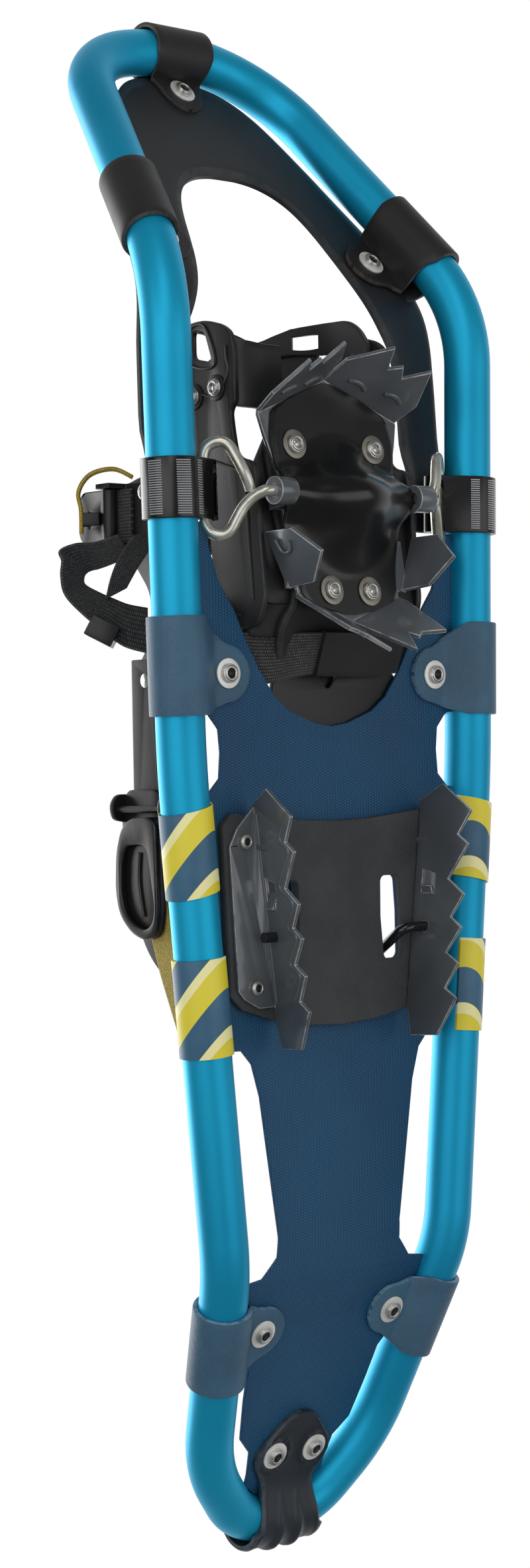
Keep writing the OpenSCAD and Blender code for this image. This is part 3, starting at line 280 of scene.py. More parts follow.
def deck_weave(t):
    """Coated deck: staggered pebbles of the cloth under the coating, with a painted highlight on the pebble crowns.
    """
    v, g, tone = grained(t, "#0d3350", "#123e5c", 1500.0, 11.0)
    cells = use(t, CELLS, Vector=v, Pitch_X=0.00175, Pitch_Y=0.0013)
    ridge = t.math("SINE", t.times(t.plus(t.split(v)[1], t.times(g["Tone"], 0.0006)), 2400.0))
    # painted highlight: the pebble crowns are mixed toward a paler blue
    tone = t.mix(t.times(cells["Height"], 0.42), tone, "#265f88")
    height = t.plus(cells["Height"], t.math("MULTIPLY_ADD", ridge, 0.08, t.times(g["Height"], 0.15)))
    return coat(tone, t.math("MULTIPLY_ADD", cells["Cell"], 0.16, 0.36), height, 0.00016)


def webbing(dark, light, across, along):
    """Woven band: columns of staggered stitches along the run, with a painted highlight in the light colour on the
    stitch crowns.
    """

    def paint(t):
        x, y, _ = t.split(t.uv())
        cells = use(t, CELLS, Vector=t.join(y, x), Pitch_X=across, Pitch_Y=along)
        g = use(t, GRAIN, Vector=t.object_coords(), Size=2500.0, Patch=60.0)
        # painted highlight: the stitch crowns take the light colour
        tone = t.mix(t.times(cells["Height"], t.math("MULTIPLY_ADD", cells["Cell"], 0.5, 0.5)), dark, light)
        height = t.math("MULTIPLY_ADD", g["Height"], 0.25, t.math("POWER", cells["Height"], 0.6))
        return coat(tone, 0.62, height, 0.0003)

    return paint


def print_stripes(t):
    """Slate film printed with broad slanted bands of yellow and cream."""
    v, g, tone = grained(t, "#2c5570", "#335f7a", 1600.0, 40.0)
    x, y, z = t.split(v)
    slant = t.plus(t.plus(t.times(y, 24.0), t.times(t.math("ABSOLUTE", x), 19.0)), t.times(z, 30.0))
    band = t.math("FRACT", slant)
    for middle, half, ink in ((0.40, 0.26, "#cfc12e"), (0.58, 0.075, "#ddd79c")):
        off = t.math("ABSOLUTE", t.math("SUBTRACT", band, middle))
        tone = t.mix(t.math("LESS_THAN", off, half), tone, ink)
    return coat(tone, 0.42, g["Height"], 0.00006)


def foam(t):
    """Closed-cell pad: fine pits."""
    v, g, tone = grained(t, "#2e3133", "#383b3d", 900.0, 30.0)
    pits = t.node("ShaderNodeTexVoronoi", {"Vector": v, "Scale": 1500.0}).outputs["Distance"]
    tone = t.mix(t.smooth(pits, 0.45, 0.1), tone, "#3d4042")
    return coat(tone, 0.82, t.plus(pits, g["Height"]), 0.0002)


def slate_rubber(t):
    """Slate-coloured rubber with fine pebbles, pale specks and paler edges."""
    v, g, tone = grained(t, "#2b4d64", "#315870", 1900.0, 35.0)
    cells = use(t, CELLS, Vector=v, Pitch_X=0.0011, Pitch_Y=0.0009)
    tone = t.mix(t.times(t.smooth(g["Height"], 0.56, 0.70), 0.3), tone, "#5d86a0")
    mask = use(t, WEAR, Vector=v, Worn=t.attribute("worn"), Patch=260.0, Amount=0.55)["Mask"]
    tone = t.mix(mask, tone, "#7fa0b4")
    return coat(tone, 0.46, t.plus(g["Height"], cells["Height"]), 0.00007)


def bright_metal(dark, light, rough):
    """Plated or bare metal with a slow change of tone and gloss."""

    def paint(t):
        _, g, tone = grained(t, dark, light, 1400.0, 90.0)
        return coat(tone, t.math("MULTIPLY_ADD", g["Tone"], 0.16, rough), g["Height"], 0.00003)

    return paint


# moulded ones: dark, light, roughness, grain size, relief in metres, edge colour, share of wear, edge roughness
finish("frame_blue", anodised, Metallic=0.72, Coat_Weight=0.1, Coat_Roughness=0.35)
finish("splice_metal", bright_metal("#9aa0a4", "#b4b8ba", 0.3), Metallic=1.0)
finish("deck_fabric", deck_weave, Specular_IOR_Level=0.30)
moulded("toe_mould", "#1b1e21", "#24282b", 0.48, 1100.0, 0.00006, "#3a3d3f", 0.5)
moulded("black_rubber", "#1b1a1a", "#242222", 0.50, 1300.0, 0.00006, "#6a5f58", 0.45)
finish("slate_rubber", slate_rubber)
finish("print_wrap", print_stripes)
finish("rivet_steel", bright_metal("#c9c8c4", "#e9e8e4", 0.20), Metallic=0.9)
finish("washer_steel", bright_metal("#8f8b81", "#aaa69b", 0.30), Metallic=0.85)
finish("washer_pale", bright_metal("#d3d2cd", "#efeee9", 0.32), Metallic=0.5)
finish("zinc_wire", bright_metal("#c3c1b2", "#e6e4da", 0.20), Metallic=0.85)
moulded("gloss_black", "#050506", "#0a0a0b", 0.30, 420.0, 0.00005, "#2c2c2e", 0.4, Coat_Weight=0.3,
        Coat_Roughness=0.20)
finish("pad_foam", foam)
moulded("gunmetal", "#4b4f53", "#5f6367", 0.30, 700.0, 0.00004, "#a9abac", 0.85, 0.30, Metallic=0.3,
        Coat_Weight=0.55, Coat_Roughness=0.12)
moulded("black_wire", "#0c0c0d", "#151517", 0.22, 500.0, 0.00003, Coat_Weight=0.5, Coat_Roughness=0.1)
moulded("harness_mould", "#141415", "#1e1e20", 0.42, 1200.0, 0.00005, "#38383a", 0.5)
# the second colour of each webbing is the painted highlight on its stitch crowns
finish("black_webbing", webbing("#070708", "#4d4d4e", 1.55, 1.05), Sheen_Weight=0.12)
finish("mustard_webbing", webbing("#7d6a12", "#d6bd3c", 1.15, 0.8), Sheen_Weight=0.15)
# pale grey on the ladder bars is a painted highlight for the shine of the bands' fine embossing
moulded("band_ladder", "#8f9295", "#a9acae", 0.28, 900.0, 0.00002, Metallic=0.3)
# near-black discs in the frame rivets' eyelets: painted shade standing for the dark of the holes
moulded("eyelet_dark", "#0b0b0c", "#161617", 0.4, 900.0, 0.00002)
moulded("tail_mould", "#1a2229", "#232c34", 0.42, 1300.0, 0.00005, "#4a555e", 0.5)
moulded("buckle_plastic", "#0f0f10", "#18181a", 0.34, 1000.0, 0.00004, "#3c3c3e", 0.5)


# ---- making pieces
def settle(obj, node):
    """Gives a finished piece its node's body and slot."""
    if not obj.data.materials:
        obj.data.materials.append(MAT[SLOT_OF[node]])
    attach(obj, BODY_OF[node])
    return obj


def stand_in(obj, node):
    """Settles a piece that is shown in place of its node's CAD mesh."""
    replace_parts(settle(obj, node), node)
    return obj


FLIP = Matrix.Scale(-1, 4, (1, 0, 0))


def piece_of(name, bm, crease=38):
    """A linked piece from a bmesh in metres, shaded smooth but for edges that turn more than crease degrees."""
    mesh = bpy.data.meshes.new(name)
    bm.to_mesh(mesh)
    bm.free()
    if crease:
        mesh.shade_smooth()
        mesh.set_sharp_from_angle(angle=math.radians(crease))
    return link(name, mesh)


def flipped(obj, name):
    """The mirror twin of a finished piece, across the shoe's middle."""
    mesh = obj.data.copy()
    mesh.transform(FLIP)
    mesh.flip_normals()
    return link(name, mesh)


def both_sides(obj, give, node, left_node=None):
    """Makes a right-hand piece's mirror twin and settles both with give, which is settle or stand_in."""
    twin = flipped(obj, obj.name + "_left")
    obj.name += "_right"
    give(obj, node)
    give(twin, left_node or node)


EDGE_ANGLE = math.radians(28)  # edges that turn more than this are rounded


def ease(t):
    """0 to 1 with a gentle start and end."""
    t = max(0.0, min(1.0, t))
    return t * t * (3 - 2 * t)


def soften(node, width, run):
    """Stands for a CAD node with its edges rounded by width mm; the rounded faces carry the worn attribute.

    run(point in the shoe frame) gives (along, across) in mm for a woven band; None for the others."""
    bm = bmesh.new()
    bm.from_mesh(frame["nodes"][node].data)
    bmesh.ops.remove_doubles(bm, verts=bm.verts, dist=2e-6)
    bmesh.ops.dissolve_limit(bm, angle_limit=math.radians(0.6), verts=bm.verts, edges=bm.edges, delimit=set())
    worn = bm.faces.layers.float.new("worn")
    edges = [e for e in bm.edges if len(e.link_faces) == 2 and e.calc_face_angle(0) > EDGE_ANGLE]
    made = bmesh.ops.bevel(bm, geom=edges, offset=width * MM, offset_type="OFFSET", segments=2, profile=0.6,
                           affect="EDGES", clamp_overlap=False, loop_slide=True)
    for f in made["faces"]:
        f[worn] = 1.0
    bmesh.ops.triangulate(bm, faces=[f for f in bm.faces if len(f.verts) > 4])
    if run:
        uv, back = bm.loops.layers.uv.new("run"), STAND.inverted()
        for f in bm.faces:
            for loop in f.loops:
                loop[uv].uv = run(back @ loop.vert.co)
    return stand_in(piece_of(node + "_soft", bm), node)


def bent_path(corners, radii, step):
    """Centre line in mm through corners, with a round bend at each inner one, in steps of step degrees."""
    points = [Vector(corners[0])]
    for a, b, c, r in zip(corners, corners[1:], corners[2:], radii[1:]):
        a, b, c = Vector(a), Vector(b), Vector(c)
        u, v = (b - a).normalized(), (c - b).normalized()
        turn = u.angle(v)
        middle = b + (v - u).normalized() * r / math.cos(turn / 2)
        arm = b - u * r * math.tan(turn / 2) - middle
        count = max(4, math.ceil(math.degrees(turn) / step))
        axis = u.cross(v).normalized()
        points += [middle + Matrix.Rotation(turn * k / count, 3, axis) @ arm for k in range(count + 1)]
    return points + [Vector(corners[-1])]


def lengths(points):
    """Running length at each point."""
    out = [0.0]
    for a, b in zip(points, points[1:]):
        out.append(out[-1] + (b - a).length)
    return out


def heading(points, i):
    """From the point before point i to the one after it."""
    return points[min(i + 1, len(points) - 1)] - points[max(i - 1, 0)]


def surface(name, rows, worn_rows, uvs=None):
    """A closed skin of rings: every row is a ring of points in the shoe frame, and both end rings are capped.

    Faces that start at the points in worn_rows take wear; uvs: lengths along the rows and round a ring."""
    bm = bmesh.new()
    worn = bm.faces.layers.float.new("worn")
    uv = bm.loops.layers.uv.new("run")
    n = len(rows[0])
    verts = [[bm.verts.new(p) for p in row] for row in rows]
    for i in range(len(rows) - 1):
        for j in range(n):
            k = (j + 1) % n
            f = bm.faces.new((verts[i][j], verts[i + 1][j], verts[i + 1][k], verts[i][k]))
            if j in worn_rows:
                f[worn] = 1.0
            if uvs:
                for loop, (a, b) in zip(f.loops, ((i, j), (i + 1, j), (i + 1, j + 1), (i, j + 1))):
                    loop[uv].uv = (uvs[0][a], uvs[1][b])
    for ends in (verts[0], verts[-1]):
        bm.faces.new(ends)
    bmesh.ops.recalc_face_normals(bm, faces=bm.faces)
    bm.transform(STAND)
    return piece_of(name, bm)


def sweep(name, path, ring):
    """Sweeps ring, a list of (side, out) in mm, along path without twist. The UV map runs along it in mm."""
    rows, side = [], None
    for i, p in enumerate(path):
        t = heading(path, i).normalized()
        seed = side or (Vector((0, 0, 1)) if abs(t.z) < 0.9 else Vector((1, 0, 0)))
        side = (seed - t * seed.dot(t)).normalized()
        rows.append([p + side * a + t.cross(side) * b for a, b in ring])
    return surface(name, rows, (), (lengths(path), lengths([Vector(q) for q in ring + ring[:1]])))


def round_ring(r, sides):
    """A round section for a sweep."""
    return [(r * math.cos(math.tau * k / sides), r * math.sin(math.tau * k / sides)) for k in range(sides)]


def smooth_curve(points, steps):
    """Catmull-Rom curve through points."""
    p = [Vector(q) for q in points]
    out = []
    for i in range(len(p) - 1):
        a, b, c, d = (p[max(0, min(len(p) - 1, k))] for k in range(i - 1, i + 3))
        for k in range(steps):
            t = k / steps
            out.append(0.5 * ((2 * b) + (c - a) * t + (2 * a - 5 * b + 4 * c - d) * t * t
                              + (3 * b - a - 3 * c + d) * t ** 3))
    return out + [p[-1]]


# ---- tools that repeat small pieces
def geometry_tool(name, ins):
    """A Geometry Nodes group with named inputs, and its tree and ends."""
    return open_group(bpy.data.node_groups.new(name, "GeometryNodeTree"), ins, [("Geometry", "Geometry")])


def close_tool(t, out, instances, material):
    """Realises a tool's instances, smooths them and gives them their material."""
    real = t.node("GeometryNodeRealizeInstances", {"Geometry": instances}).outputs[0]
    round_ = t.node("GeometryNodeSetShadeSmooth", {"Geometry": real}).outputs[0]
    t.feed(out.inputs[0], t.node("GeometryNodeSetMaterial", {"Geometry": round_, "Material": material}).outputs[0])


def make_ladder():
    """Short raised bars, one above the other along a round band, on the Z axis."""
    g, t, i, o = geometry_tool("ladder_bars", [
        ("Count", "Int", 20), ("Pitch", "Float", 0.001), ("Radius", "Float", 0.0136), ("Start", "Float", 0.0),
        ("Sweep", "Float", 0.5), ("Bar", "Float", 0.0003), ("Finish", "Material", None)])
    arc = t.node("GeometryNodeCurveArc", {"Resolution": 9, "Radius": i["Radius"], "Start Angle": i["Start"],
                                          "Sweep Angle": i["Sweep"]}, mode="RADIUS")
    ring = t.node("GeometryNodeCurvePrimitiveCircle", {"Resolution": 6, "Radius": i["Bar"]})
    ins = {"Curve": arc.outputs["Curve"], "Profile Curve": ring.outputs["Curve"], "Fill Caps": True}
    bar = t.node("GeometryNodeCurveToMesh", ins).outputs[0]
    low = t.times(t.times(i["Pitch"], t.math("SUBTRACT", i["Count"], 1.0)), -0.5)
    line = t.node("GeometryNodeMeshLine", {"Count": i["Count"], "Start Location": t.join(0.0, 0.0, low),
                                           "Offset": t.join(0.0, 0.0, i["Pitch"])}, mode="OFFSET").outputs[0]
    bars = t.node("GeometryNodeInstanceOnPoints", {"Points": line, "Instance": bar})
    close_tool(t, o, bars.outputs[0], i["Finish"])
    return g


def make_setter():
    """Sets one piece out on marked points, turned to each point's facing and sized by its size."""
    g, t, i, o = geometry_tool("set_out", [("Marks", "Object", None), ("Piece", "Object", None),
                                           ("Finish", "Material", None)])
    marks = t.node("GeometryNodeObjectInfo", {"Object": i["Marks"]}).outputs["Geometry"]
    piece = t.node("GeometryNodeObjectInfo", {"Object": i["Piece"]}).outputs["Geometry"]
    facing, size = (t.node("GeometryNodeInputNamedAttribute", {"Name": name}, data_type=kind).outputs["Attribute"]
                    for name, kind in (("facing", "FLOAT_VECTOR"), ("size", "FLOAT")))
    turn = t.node("FunctionNodeAlignRotationToVector", {"Vector": facing}, axis="Z").outputs[0]
    ins = {"Points": marks, "Instance": piece, "Rotation": turn, "Scale": size}
    close_tool(t, o, t.node("GeometryNodeInstanceOnPoints", ins).outputs[0], i["Finish"])
    return g


LADDER, SETTER = make_ladder(), make_setter()


def solid_mesh(holder):
    """The plain mesh that a working object comes to; the object goes."""
    mesh = bpy.data.meshes.new_from_object(holder.evaluated_get(bpy.context.evaluated_depsgraph_get()))
    bpy.data.objects.remove(holder)
    return mesh


def grown(name, tool, **values):
    """Runs a geometry tool with its named inputs and keeps the outcome as a plain mesh."""
    holder = link(name + "_maker", bpy.data.meshes.new(name + "_maker"))
    made = holder.modifiers.new("tool", "NODES")
    made.node_group = tool
    for item in tool.interface.items_tree:
        if item.item_type == "SOCKET" and item.in_out == "INPUT" and item.name in values:
            made[item.identifier] = values[item.name]
    holder.update_tag()
    bpy.context.view_layer.update()
    mesh = solid_mesh(holder)
    mesh.name = name
    return mesh


def turned(name, profile):
    """A turned ring from a closed profile of (radius, height) in mm, about the Z axis."""
    sides = 28
    bm = bmesh.new()
    rows = [[bm.verts.new((r * math.cos(a) * MM, r * math.sin(a) * MM, z * MM)) for r, z in profile]
            for a in (math.tau * k / sides for k in range(sides))]
    n = len(profile)
    for i in range(sides):
        a, b = rows[i], rows[(i + 1) % sides]
        for j in range(n):
            bm.faces.new((a[j], b[j], b[(j + 1) % n], a[(j + 1) % n]))
    bmesh.ops.remove_doubles(bm, verts=bm.verts, dist=1e-7)
    bmesh.ops.recalc_face_normals(bm, faces=bm.faces)
    return piece_of(name, bm, 0)


def set_out(name, piece, places, material):
    """Sets piece out on places, a list of (point, facing, size) in the shoe frame."""
    mesh = bpy.data.meshes.new(name + "_marks")
    mesh.from_pydata([at(*p) for p, _, _ in places], [], [])
    mesh.attributes.new("facing", "FLOAT_VECTOR", "POINT")
    mesh.attributes.new("size", "FLOAT", "POINT")
    for k, (_, way, scale) in enumerate(places):
        mesh.attributes["facing"].data[k].vector = (TURN @ Vector(way)).normalized()
        mesh.attributes["size"].data[k].value = scale
    marks = link(name + "_marks", mesh)
    out = grown(name, SETTER, Marks=marks, Piece=piece, Finish=MAT[material])
    bpy.data.objects.remove(marks)
    return link(name, out)


# ---- frame tube, pivot rings and heel lift
TUBE_R = 11.1
HALF_RAIL = [(21, -347, 51.47), (51, -313, 38.01), (69, -217, 0), (89, 8, 0), (94, 229, 0), (59, 346, 103.15)]
HALF_BENDS = [35, 75, 75, 585, 75, 50]
RAIL = ([(0.2, -347, 51.47)] + HALF_RAIL + [(0, 360, 109)] + [(-x, y, z) for x, y, z in HALF_RAIL[::-1]]
        + [(-0.2, -347, 51.47)])
BENDS = [0] + HALF_BENDS + [110] + HALF_BENDS[::-1] + [0]
rail_path = bent_path(RAIL, BENDS, 3.0)
stand_in(sweep("frame_tube_smooth", rail_path, round_ring(TUBE_R, 48)), "frame_tube")

PIVOT_Y, PIVOT_Z = 132, -18
RING_BEND, RING_SLOPE = 51.5, 0.846  # where a ring's wire starts to rise to the rail, and how fast
ring_line = [(40, 0, 0), (46, 0, 0), (51, 0, 0), (54.4, -1.4, 0), (57, -3.6, 0), (59.9, -7.6, 0), (62.3, -13, 0),
             (64.3, -17.6, 0), (67.2, -19.8, 0), (70.7, -18.6, 0), (73, -14.6, 0), (73.8, -8, 0), (73.9, 0, 0),
             (73.8, 9, 0), (73, 16.8, 0), (70.9, 20.6, 0), (67.5, 21.9, 0), (64.5, 20, 0), (62.3, 15.6, 0),
             (59.9, 9.4, 0), (57.6, 4.4, 1.4), (55.6, 0.6, 3.6)]
ring_half = smooth_curve([(x, PIVOT_Y + y, PIVOT_Z + max(0.0, x - RING_BEND) * RING_SLOPE + z)
                          for x, y, z in ring_line], 5)
for label, sign in (("right", 1), ("left", -1)):
    path = [Vector((p.x * sign, p.y, p.z)) for p in ring_half]
    stand_in(sweep("pivot_ring_" + label, path, round_ring(2.65, 20)), "pivot_rings")

BAIL = Vector((0, -67.4, -12.5))
BAIL_RISE = 20.5
bail_back = BAIL_RISE * math.tan(math.radians(35))
bail_half = [(54, 0, 0), (32, 0, 0), (32, -bail_back, BAIL_RISE), (32, -60, BAIL_RISE)]
bail = [BAIL + Vector(p) for p in bail_half] + [BAIL + Vector((-x, y, z)) for x, y, z in bail_half[::-1]]
stand_in(sweep("heel_lift_wire", bent_path(bail, [0, 5, 6, 8, 8, 6, 5, 0], 8), round_ring(2.4, 20)), "heel_lift")

# ---- local frames along the shoe
def frame_of(origin, x, y, z):
    """A local frame in the shoe frame, from its origin and its axes."""
    m = Matrix([Vector(x), Vector(y), Vector(z)]).transposed().to_4x4()
    return Matrix.Translation(Vector(origin)) @ m


CORNER, KICK, WAIST, UPTURN, TOE_CORNER = (Vector(p) for p in HALF_RAIL[1:])
TAIL_SLOPE, DECK_TILT, PLATE_TILT = (math.radians(a) for a in (21.6, 36.4, 8.3))


def on_rail(y):
    """Local frame at the rail's centre beside the deck."""
    a, b = (WAIST, UPTURN) if y > WAIST.y else (KICK, WAIST)
    t = (b - a).normalized()
    return frame_of(a + (b - a) * ((y - a.y) / (b.y - a.y)), t.cross(Vector((0, 0, 1))), t, (0, 0, 1))


def on_tail():
    """Local frame at the rail's centre where the rear clip sits on the kicked-up tail."""
    t = (KICK - CORNER).normalized()
    n = Vector((0, math.sin(TAIL_SLOPE), math.cos(TAIL_SLOPE)))
    return frame_of(KICK - t * 38, t.cross(n), t, n)


TAIL_PLANE = Matrix.Translation((0, -217, 0)) @ Matrix.Rotation(-TAIL_SLOPE, 4, "X")
TOE_PLANE = Matrix.Translation((0, 228, 21)) @ Matrix.Rotation(DECK_TILT, 4, "X")
PLATE = Matrix.Translation((0, PIVOT_Y, PIVOT_Z)) @ Matrix.Rotation(PLATE_TILT, 4, "X")
DOWN = Vector((0, 0, -1))


EDGE_STRIPS = [11, 12, 13, 26, 27, 28]  # the face rows on the two edges of a strap ten faces wide


def strap(name, stations, half, across, edge):
    """A strap or plate skinned through its stations, with rounded edges and its UV map running along it in mm.

    Each station is (edge point, other edge point, outward); half is half the thickness."""
    rows = []
    for a, b, out in stations:
        w = (b - a).length
        e = min(edge, w * 0.3, half * 0.8)
        u = (b - a) / max(w, 1e-6)
        ring = []
        for p, q, way, up in ((a, b, u, out), (b, a, -u, -out)):
            ring += [p + way * e + (q - p - way * 2 * e) * (k / across) + up * half for k in range(across + 1)]
            ring += [q - way * e * 0.3 + up * (half - e * 0.3), q + up * (half - e), q - up * (half - e),
                     q - way * e * 0.3 - up * (half - e * 0.3)]
        rows.append(ring)
    middle = rows[len(rows) // 2]
    run = lengths([(a + b) / 2 for a, b, _ in stations])
    return surface(name, rows, EDGE_STRIPS, (run, lengths(middle + middle[:1])))


def level_lap(x, y, side):
    """Height of a clip's lap on a level deck, on one face (side 1 or -1)."""
    return side * 2.0


def rail_clip(name, local, reach, skew, length, lobe, plane=level_lap, top_lobe=True):
    """A clip strap from its rivet lobe on the snow face, round the rail, and back onto the boot face.

    local: frame at the rail's centre, X away from the rivet, Y along the rail, Z to the boot side."""
    half, gap = 1.2, 0.12  # half the strap's thickness, and its clearance from the rail
    r = TUBE_R + gap + half
    inner = 7.2 - reach

    def width(x):
        """Lowest and highest y of the strap at x."""
        if x <= -reach:
            w = math.sqrt(max(lobe ** 2 - (x + reach) ** 2, 0.01))
            return skew - w, skew + w
        k = min(1, (x + reach) / (reach - 9))
        return (skew - lobe) * (1 - k) - length / 2 * k, (skew + lobe) * (1 - k) + length / 2 * k

    def tangent(side):
        """Angle where the strap leaves the rail on one side, going round the far side of the rail."""
        z = plane(inner, skew, side)
        start = math.atan2(z, inner)
        if side < 0 < start:
            start -= math.tau
        if side > 0 > start:
            start += math.tau
        return start - side * math.acos(min(1, r / math.hypot(inner, z)))

    low, high = tangent(-1), tangent(1)
    flat = [-reach - lobe * math.cos(math.radians(a)) for a in range(4, 91, 9)]
    flat += [-reach + (inner + reach) * k / 4 for k in range(1, 5)]

    def lap_station(x, side):
        a, b = (Vector((x, y, plane(x, y, side))) for y in width(x))
        y = width(x)[0]
        n = (b - a).cross(Vector((1, 0, plane(x + 1, y, side) - plane(x, y, side)))).normalized()
        return a, b, n if n.z * side > 0 else -n

    def bridge(side, angle):
        """Stations from the lap to where the strap meets the rail."""
        out = []
        tx, tz = r * math.cos(angle), r * math.sin(angle)
        for f in (k / 5 for k in range(1, 5)):
            x, g = inner + (tx - inner) * f, ease(f)
            a, b = (Vector((x, y, plane(inner, y, side) * (1 - f) + tz * f)) for y in width(x))
            n = Vector((math.cos(angle) * g, 0, side * (1 - g) + math.sin(angle) * g)).normalized()
            out.append((a, b, n))
        return out

    stations = [lap_station(x, -1) for x in flat] + bridge(-1, low)
    steps = max(8, int(math.degrees(high - low) / 8))
    for k in range(steps + 1):
        angle = low + (high - low) * k / steps
        n = Vector((math.cos(angle), 0, math.sin(angle)))
        stations.append((*(Vector((n.x * r, y, n.z * r)) for y in width(r * math.cos(angle))), n))
    stations += bridge(1, high)[::-1]
    stations += [lap_station(x, 1) for x in reversed(flat if top_lobe else flat[-3:])]
    turn = local.to_3x3()
    world = [(local @ a, local @ b, (turn @ n).normalized()) for a, b, n in stations]
    return strap(name, world, half, 10, 0.55)


both_sides(rail_clip("mid_clip_strap", on_rail(54), 25.74, -3.7, 44, 13), stand_in, "mid_clips")
both_sides(rail_clip("rear_clip_strap", on_tail(), 22.5, 0, 40, 13), stand_in, "rear_clips")


def toe_side_clip(name, centre, along, rivet_x, rivet_s, length, lobe):
    """A clip of the toe deck, whose lap lies on the sloping deck's snow face."""
    n = (TOE_PLANE.to_3x3() @ Vector((0, 0, 1)))
    y = along.normalized()
    z = (n - y * n.dot(y)).normalized()
    local = frame_of(centre, y.cross(z), y, z)
    back = local.inverted()
    rivet = back @ (TOE_PLANE @ Vector((rivet_x, rivet_s, 0)))
    normal = back.to_3x3() @ n
    lift, deck = 1.25, 3.5  # from the deck's face to the lap's middle, and the deck's thickness
    low = rivet - normal * lift
    high = rivet + normal * (deck + lift)

    def plane(px, py, side):
        o = high if side > 0 else low
        return o.z - (normal.x * (px - o.x) + normal.y * (py - o.y)) / normal.z

    return rail_clip(name, local, -rivet.x, rivet.y, length, lobe, plane, False)


front_along = (TOE_CORNER - UPTURN).normalized()
front_centre = UPTURN + front_along * ((261 - UPTURN.y) / front_along.y)
front_clip = toe_side_clip("front_clip_strap", front_centre, front_along, 64, 27.33, 42, 13.4)
both_sides(front_clip, stand_in, "front_clips")
toe_top = min(rail_path, key=lambda q: abs(q.x) + (0 if q.y > 0 else 999))
stand_in(toe_side_clip("toe_clip_strap", toe_top, Vector((-1, 0, 0)), 0, 134.18, 34, 12.2), "toe_clip")


# ---- tail clip: lobed plate with two raised rivet seats and two tapering ridges
def tail_clip():
    """Builds the clip that folds over the tail tube, on a ring of points for each step along its strip."""
    tube = Vector((0, -347, 51.47))
    turn = TAIL_PLANE.to_3x3()
    local = frame_of(tube, turn @ Vector((0, -1, 0)), (1, 0, 0), turn @ Vector((0, 0, 1)))
    half, lap = 1.25, 2.05  # half the plate's thickness, height of each lap over the tube's middle
    r = TUBE_R + 0.15 + half
    outline = [(-57.8, 0.6), (-57.2, 4.5), (-55.4, 8.2), (-52, 12), (-47, 16.4), (-42, 20.3), (-38, 22.3),
               (-34, 22.9), (-30, 21.8), (-26, 18.9), (-22, 16.4), (-18, 15.6), (-12, 16.4), (-5, 18),
               (4, 19.6), (12, 21)]

    def width(x):
        """Half width of the plate at x."""
        for (a, wa), (b, wb) in zip(outline, outline[1:]):
            if x <= b:
                return wa + (wb - wa) * (x - a) / (b - a)
        return outline[-1][1]

    fine = smooth_curve([Vector((a, b, 0)) for a, b in outline], 3)

    def bump(x, y, s):
        """Height of the rivet seats, the two ridges and the rim at s along the plate."""
        seat = 0.0
        for side in (-12.2, 12.2):
            d = math.hypot(x + 36.57, y - side)
            seat = max(seat, 1.1 * math.exp(-((d - 8.6) / 0.9) ** 2))
        ridge = 0.0
        for side in (-4.6, 5.2):
            f = max(0.0, min(1.0, (s - 44) / 24))
            wide = 0.6 + 2.2 * f
            fade = 1 - max(0.0, min(1.0, (s - 76) / 14))
            ridge = max(ridge, (0.5 + 1.7 * f) * (f > 0) * fade * math.exp(-((y - side * (1 + 0.2 * f)) / wide) ** 2))
        rim = 0.45 * math.exp(-((width(min(x, 12)) - 1.6 - abs(y)) / 0.7) ** 2)
        return max(seat, ridge, rim)

    xs = [q.x for q in fine if q.x < -25]
    low = -math.radians(180 - 62)
    x0 = xs[-1]

    def fold(side):
        """Points from the lobed plate to the wrap on one side, on a curve without a crease."""
        a = Vector((x0, side * lap, 0))
        b = Vector((r * math.cos(low), side * r * -math.sin(low), 0))
        ta, tb = Vector((1, 0, 0)), Vector((math.sin(-low), side * -math.cos(low), 0))
        span = (b - a).length
        out = []
        for k in range(1, 12):
            f = k / 12
            h1, h2 = 2 * f ** 3 - 3 * f * f + 1, f ** 3 - 2 * f * f + f
            h3, h4 = -2 * f ** 3 + 3 * f * f, f ** 3 - f * f
            out.append(a * h1 + ta * (span * h2) + b * h3 + tb * (span * h4))
        return out

    centre = [Vector((x, -lap, 0)) for x in xs] + fold(-1)
    for k in range(31):
        a = low + (-2 * low) * k / 30
        centre.append(Vector((r * math.cos(a), r * math.sin(a), 0)))
    centre += fold(1)[::-1] + [Vector((x, lap, 0)) for x in reversed(xs)]
    path = []
    for k, q in enumerate(centre):
        t = heading(centre, k).normalized()
        if abs(q.x - centre[0].x) < 0.01 or k == 0:
            t = Vector((1, 0, 0)) if k < len(centre) / 2 else Vector((-1, 0, 0))
        path.append((q.x, q.y, Vector((t.y, 0, -t.x))))
    across = 44
    rows, run = [], 0.0
    last = None
    for x, z, out in path:
        here = Vector((x, 0, z))
        run += (here - last).length if last else 0.0
        last = here
        w = width(x) if abs(z) < 2.1 or x < 0 else outline[-1][1]
        ring = []
        for k in range(across + 1):
            y = -w + 2 * w * k / across
            shape = bump(x, y, run) if z < 2 else 0.0
            edge = 0.6 * max(0.0, 1 - (w - abs(y)) / 0.8) ** 2
            ring.append(here + Vector((0, y, 0)) + out * (half - edge + shape))
        for k in range(across + 1):
            y = w - 2 * w * k / across
            ring.append(here + Vector((0, y, 0)) - out * half)
        rows.append([local @ q for q in ring])
    piece = surface("tail_clip_moulding", rows, [0, 1, across - 2, across - 1, across])
    piece.data.materials.append(MAT["tail_mould"])
    stand_in(piece, "tail_clip")


tail_clip()


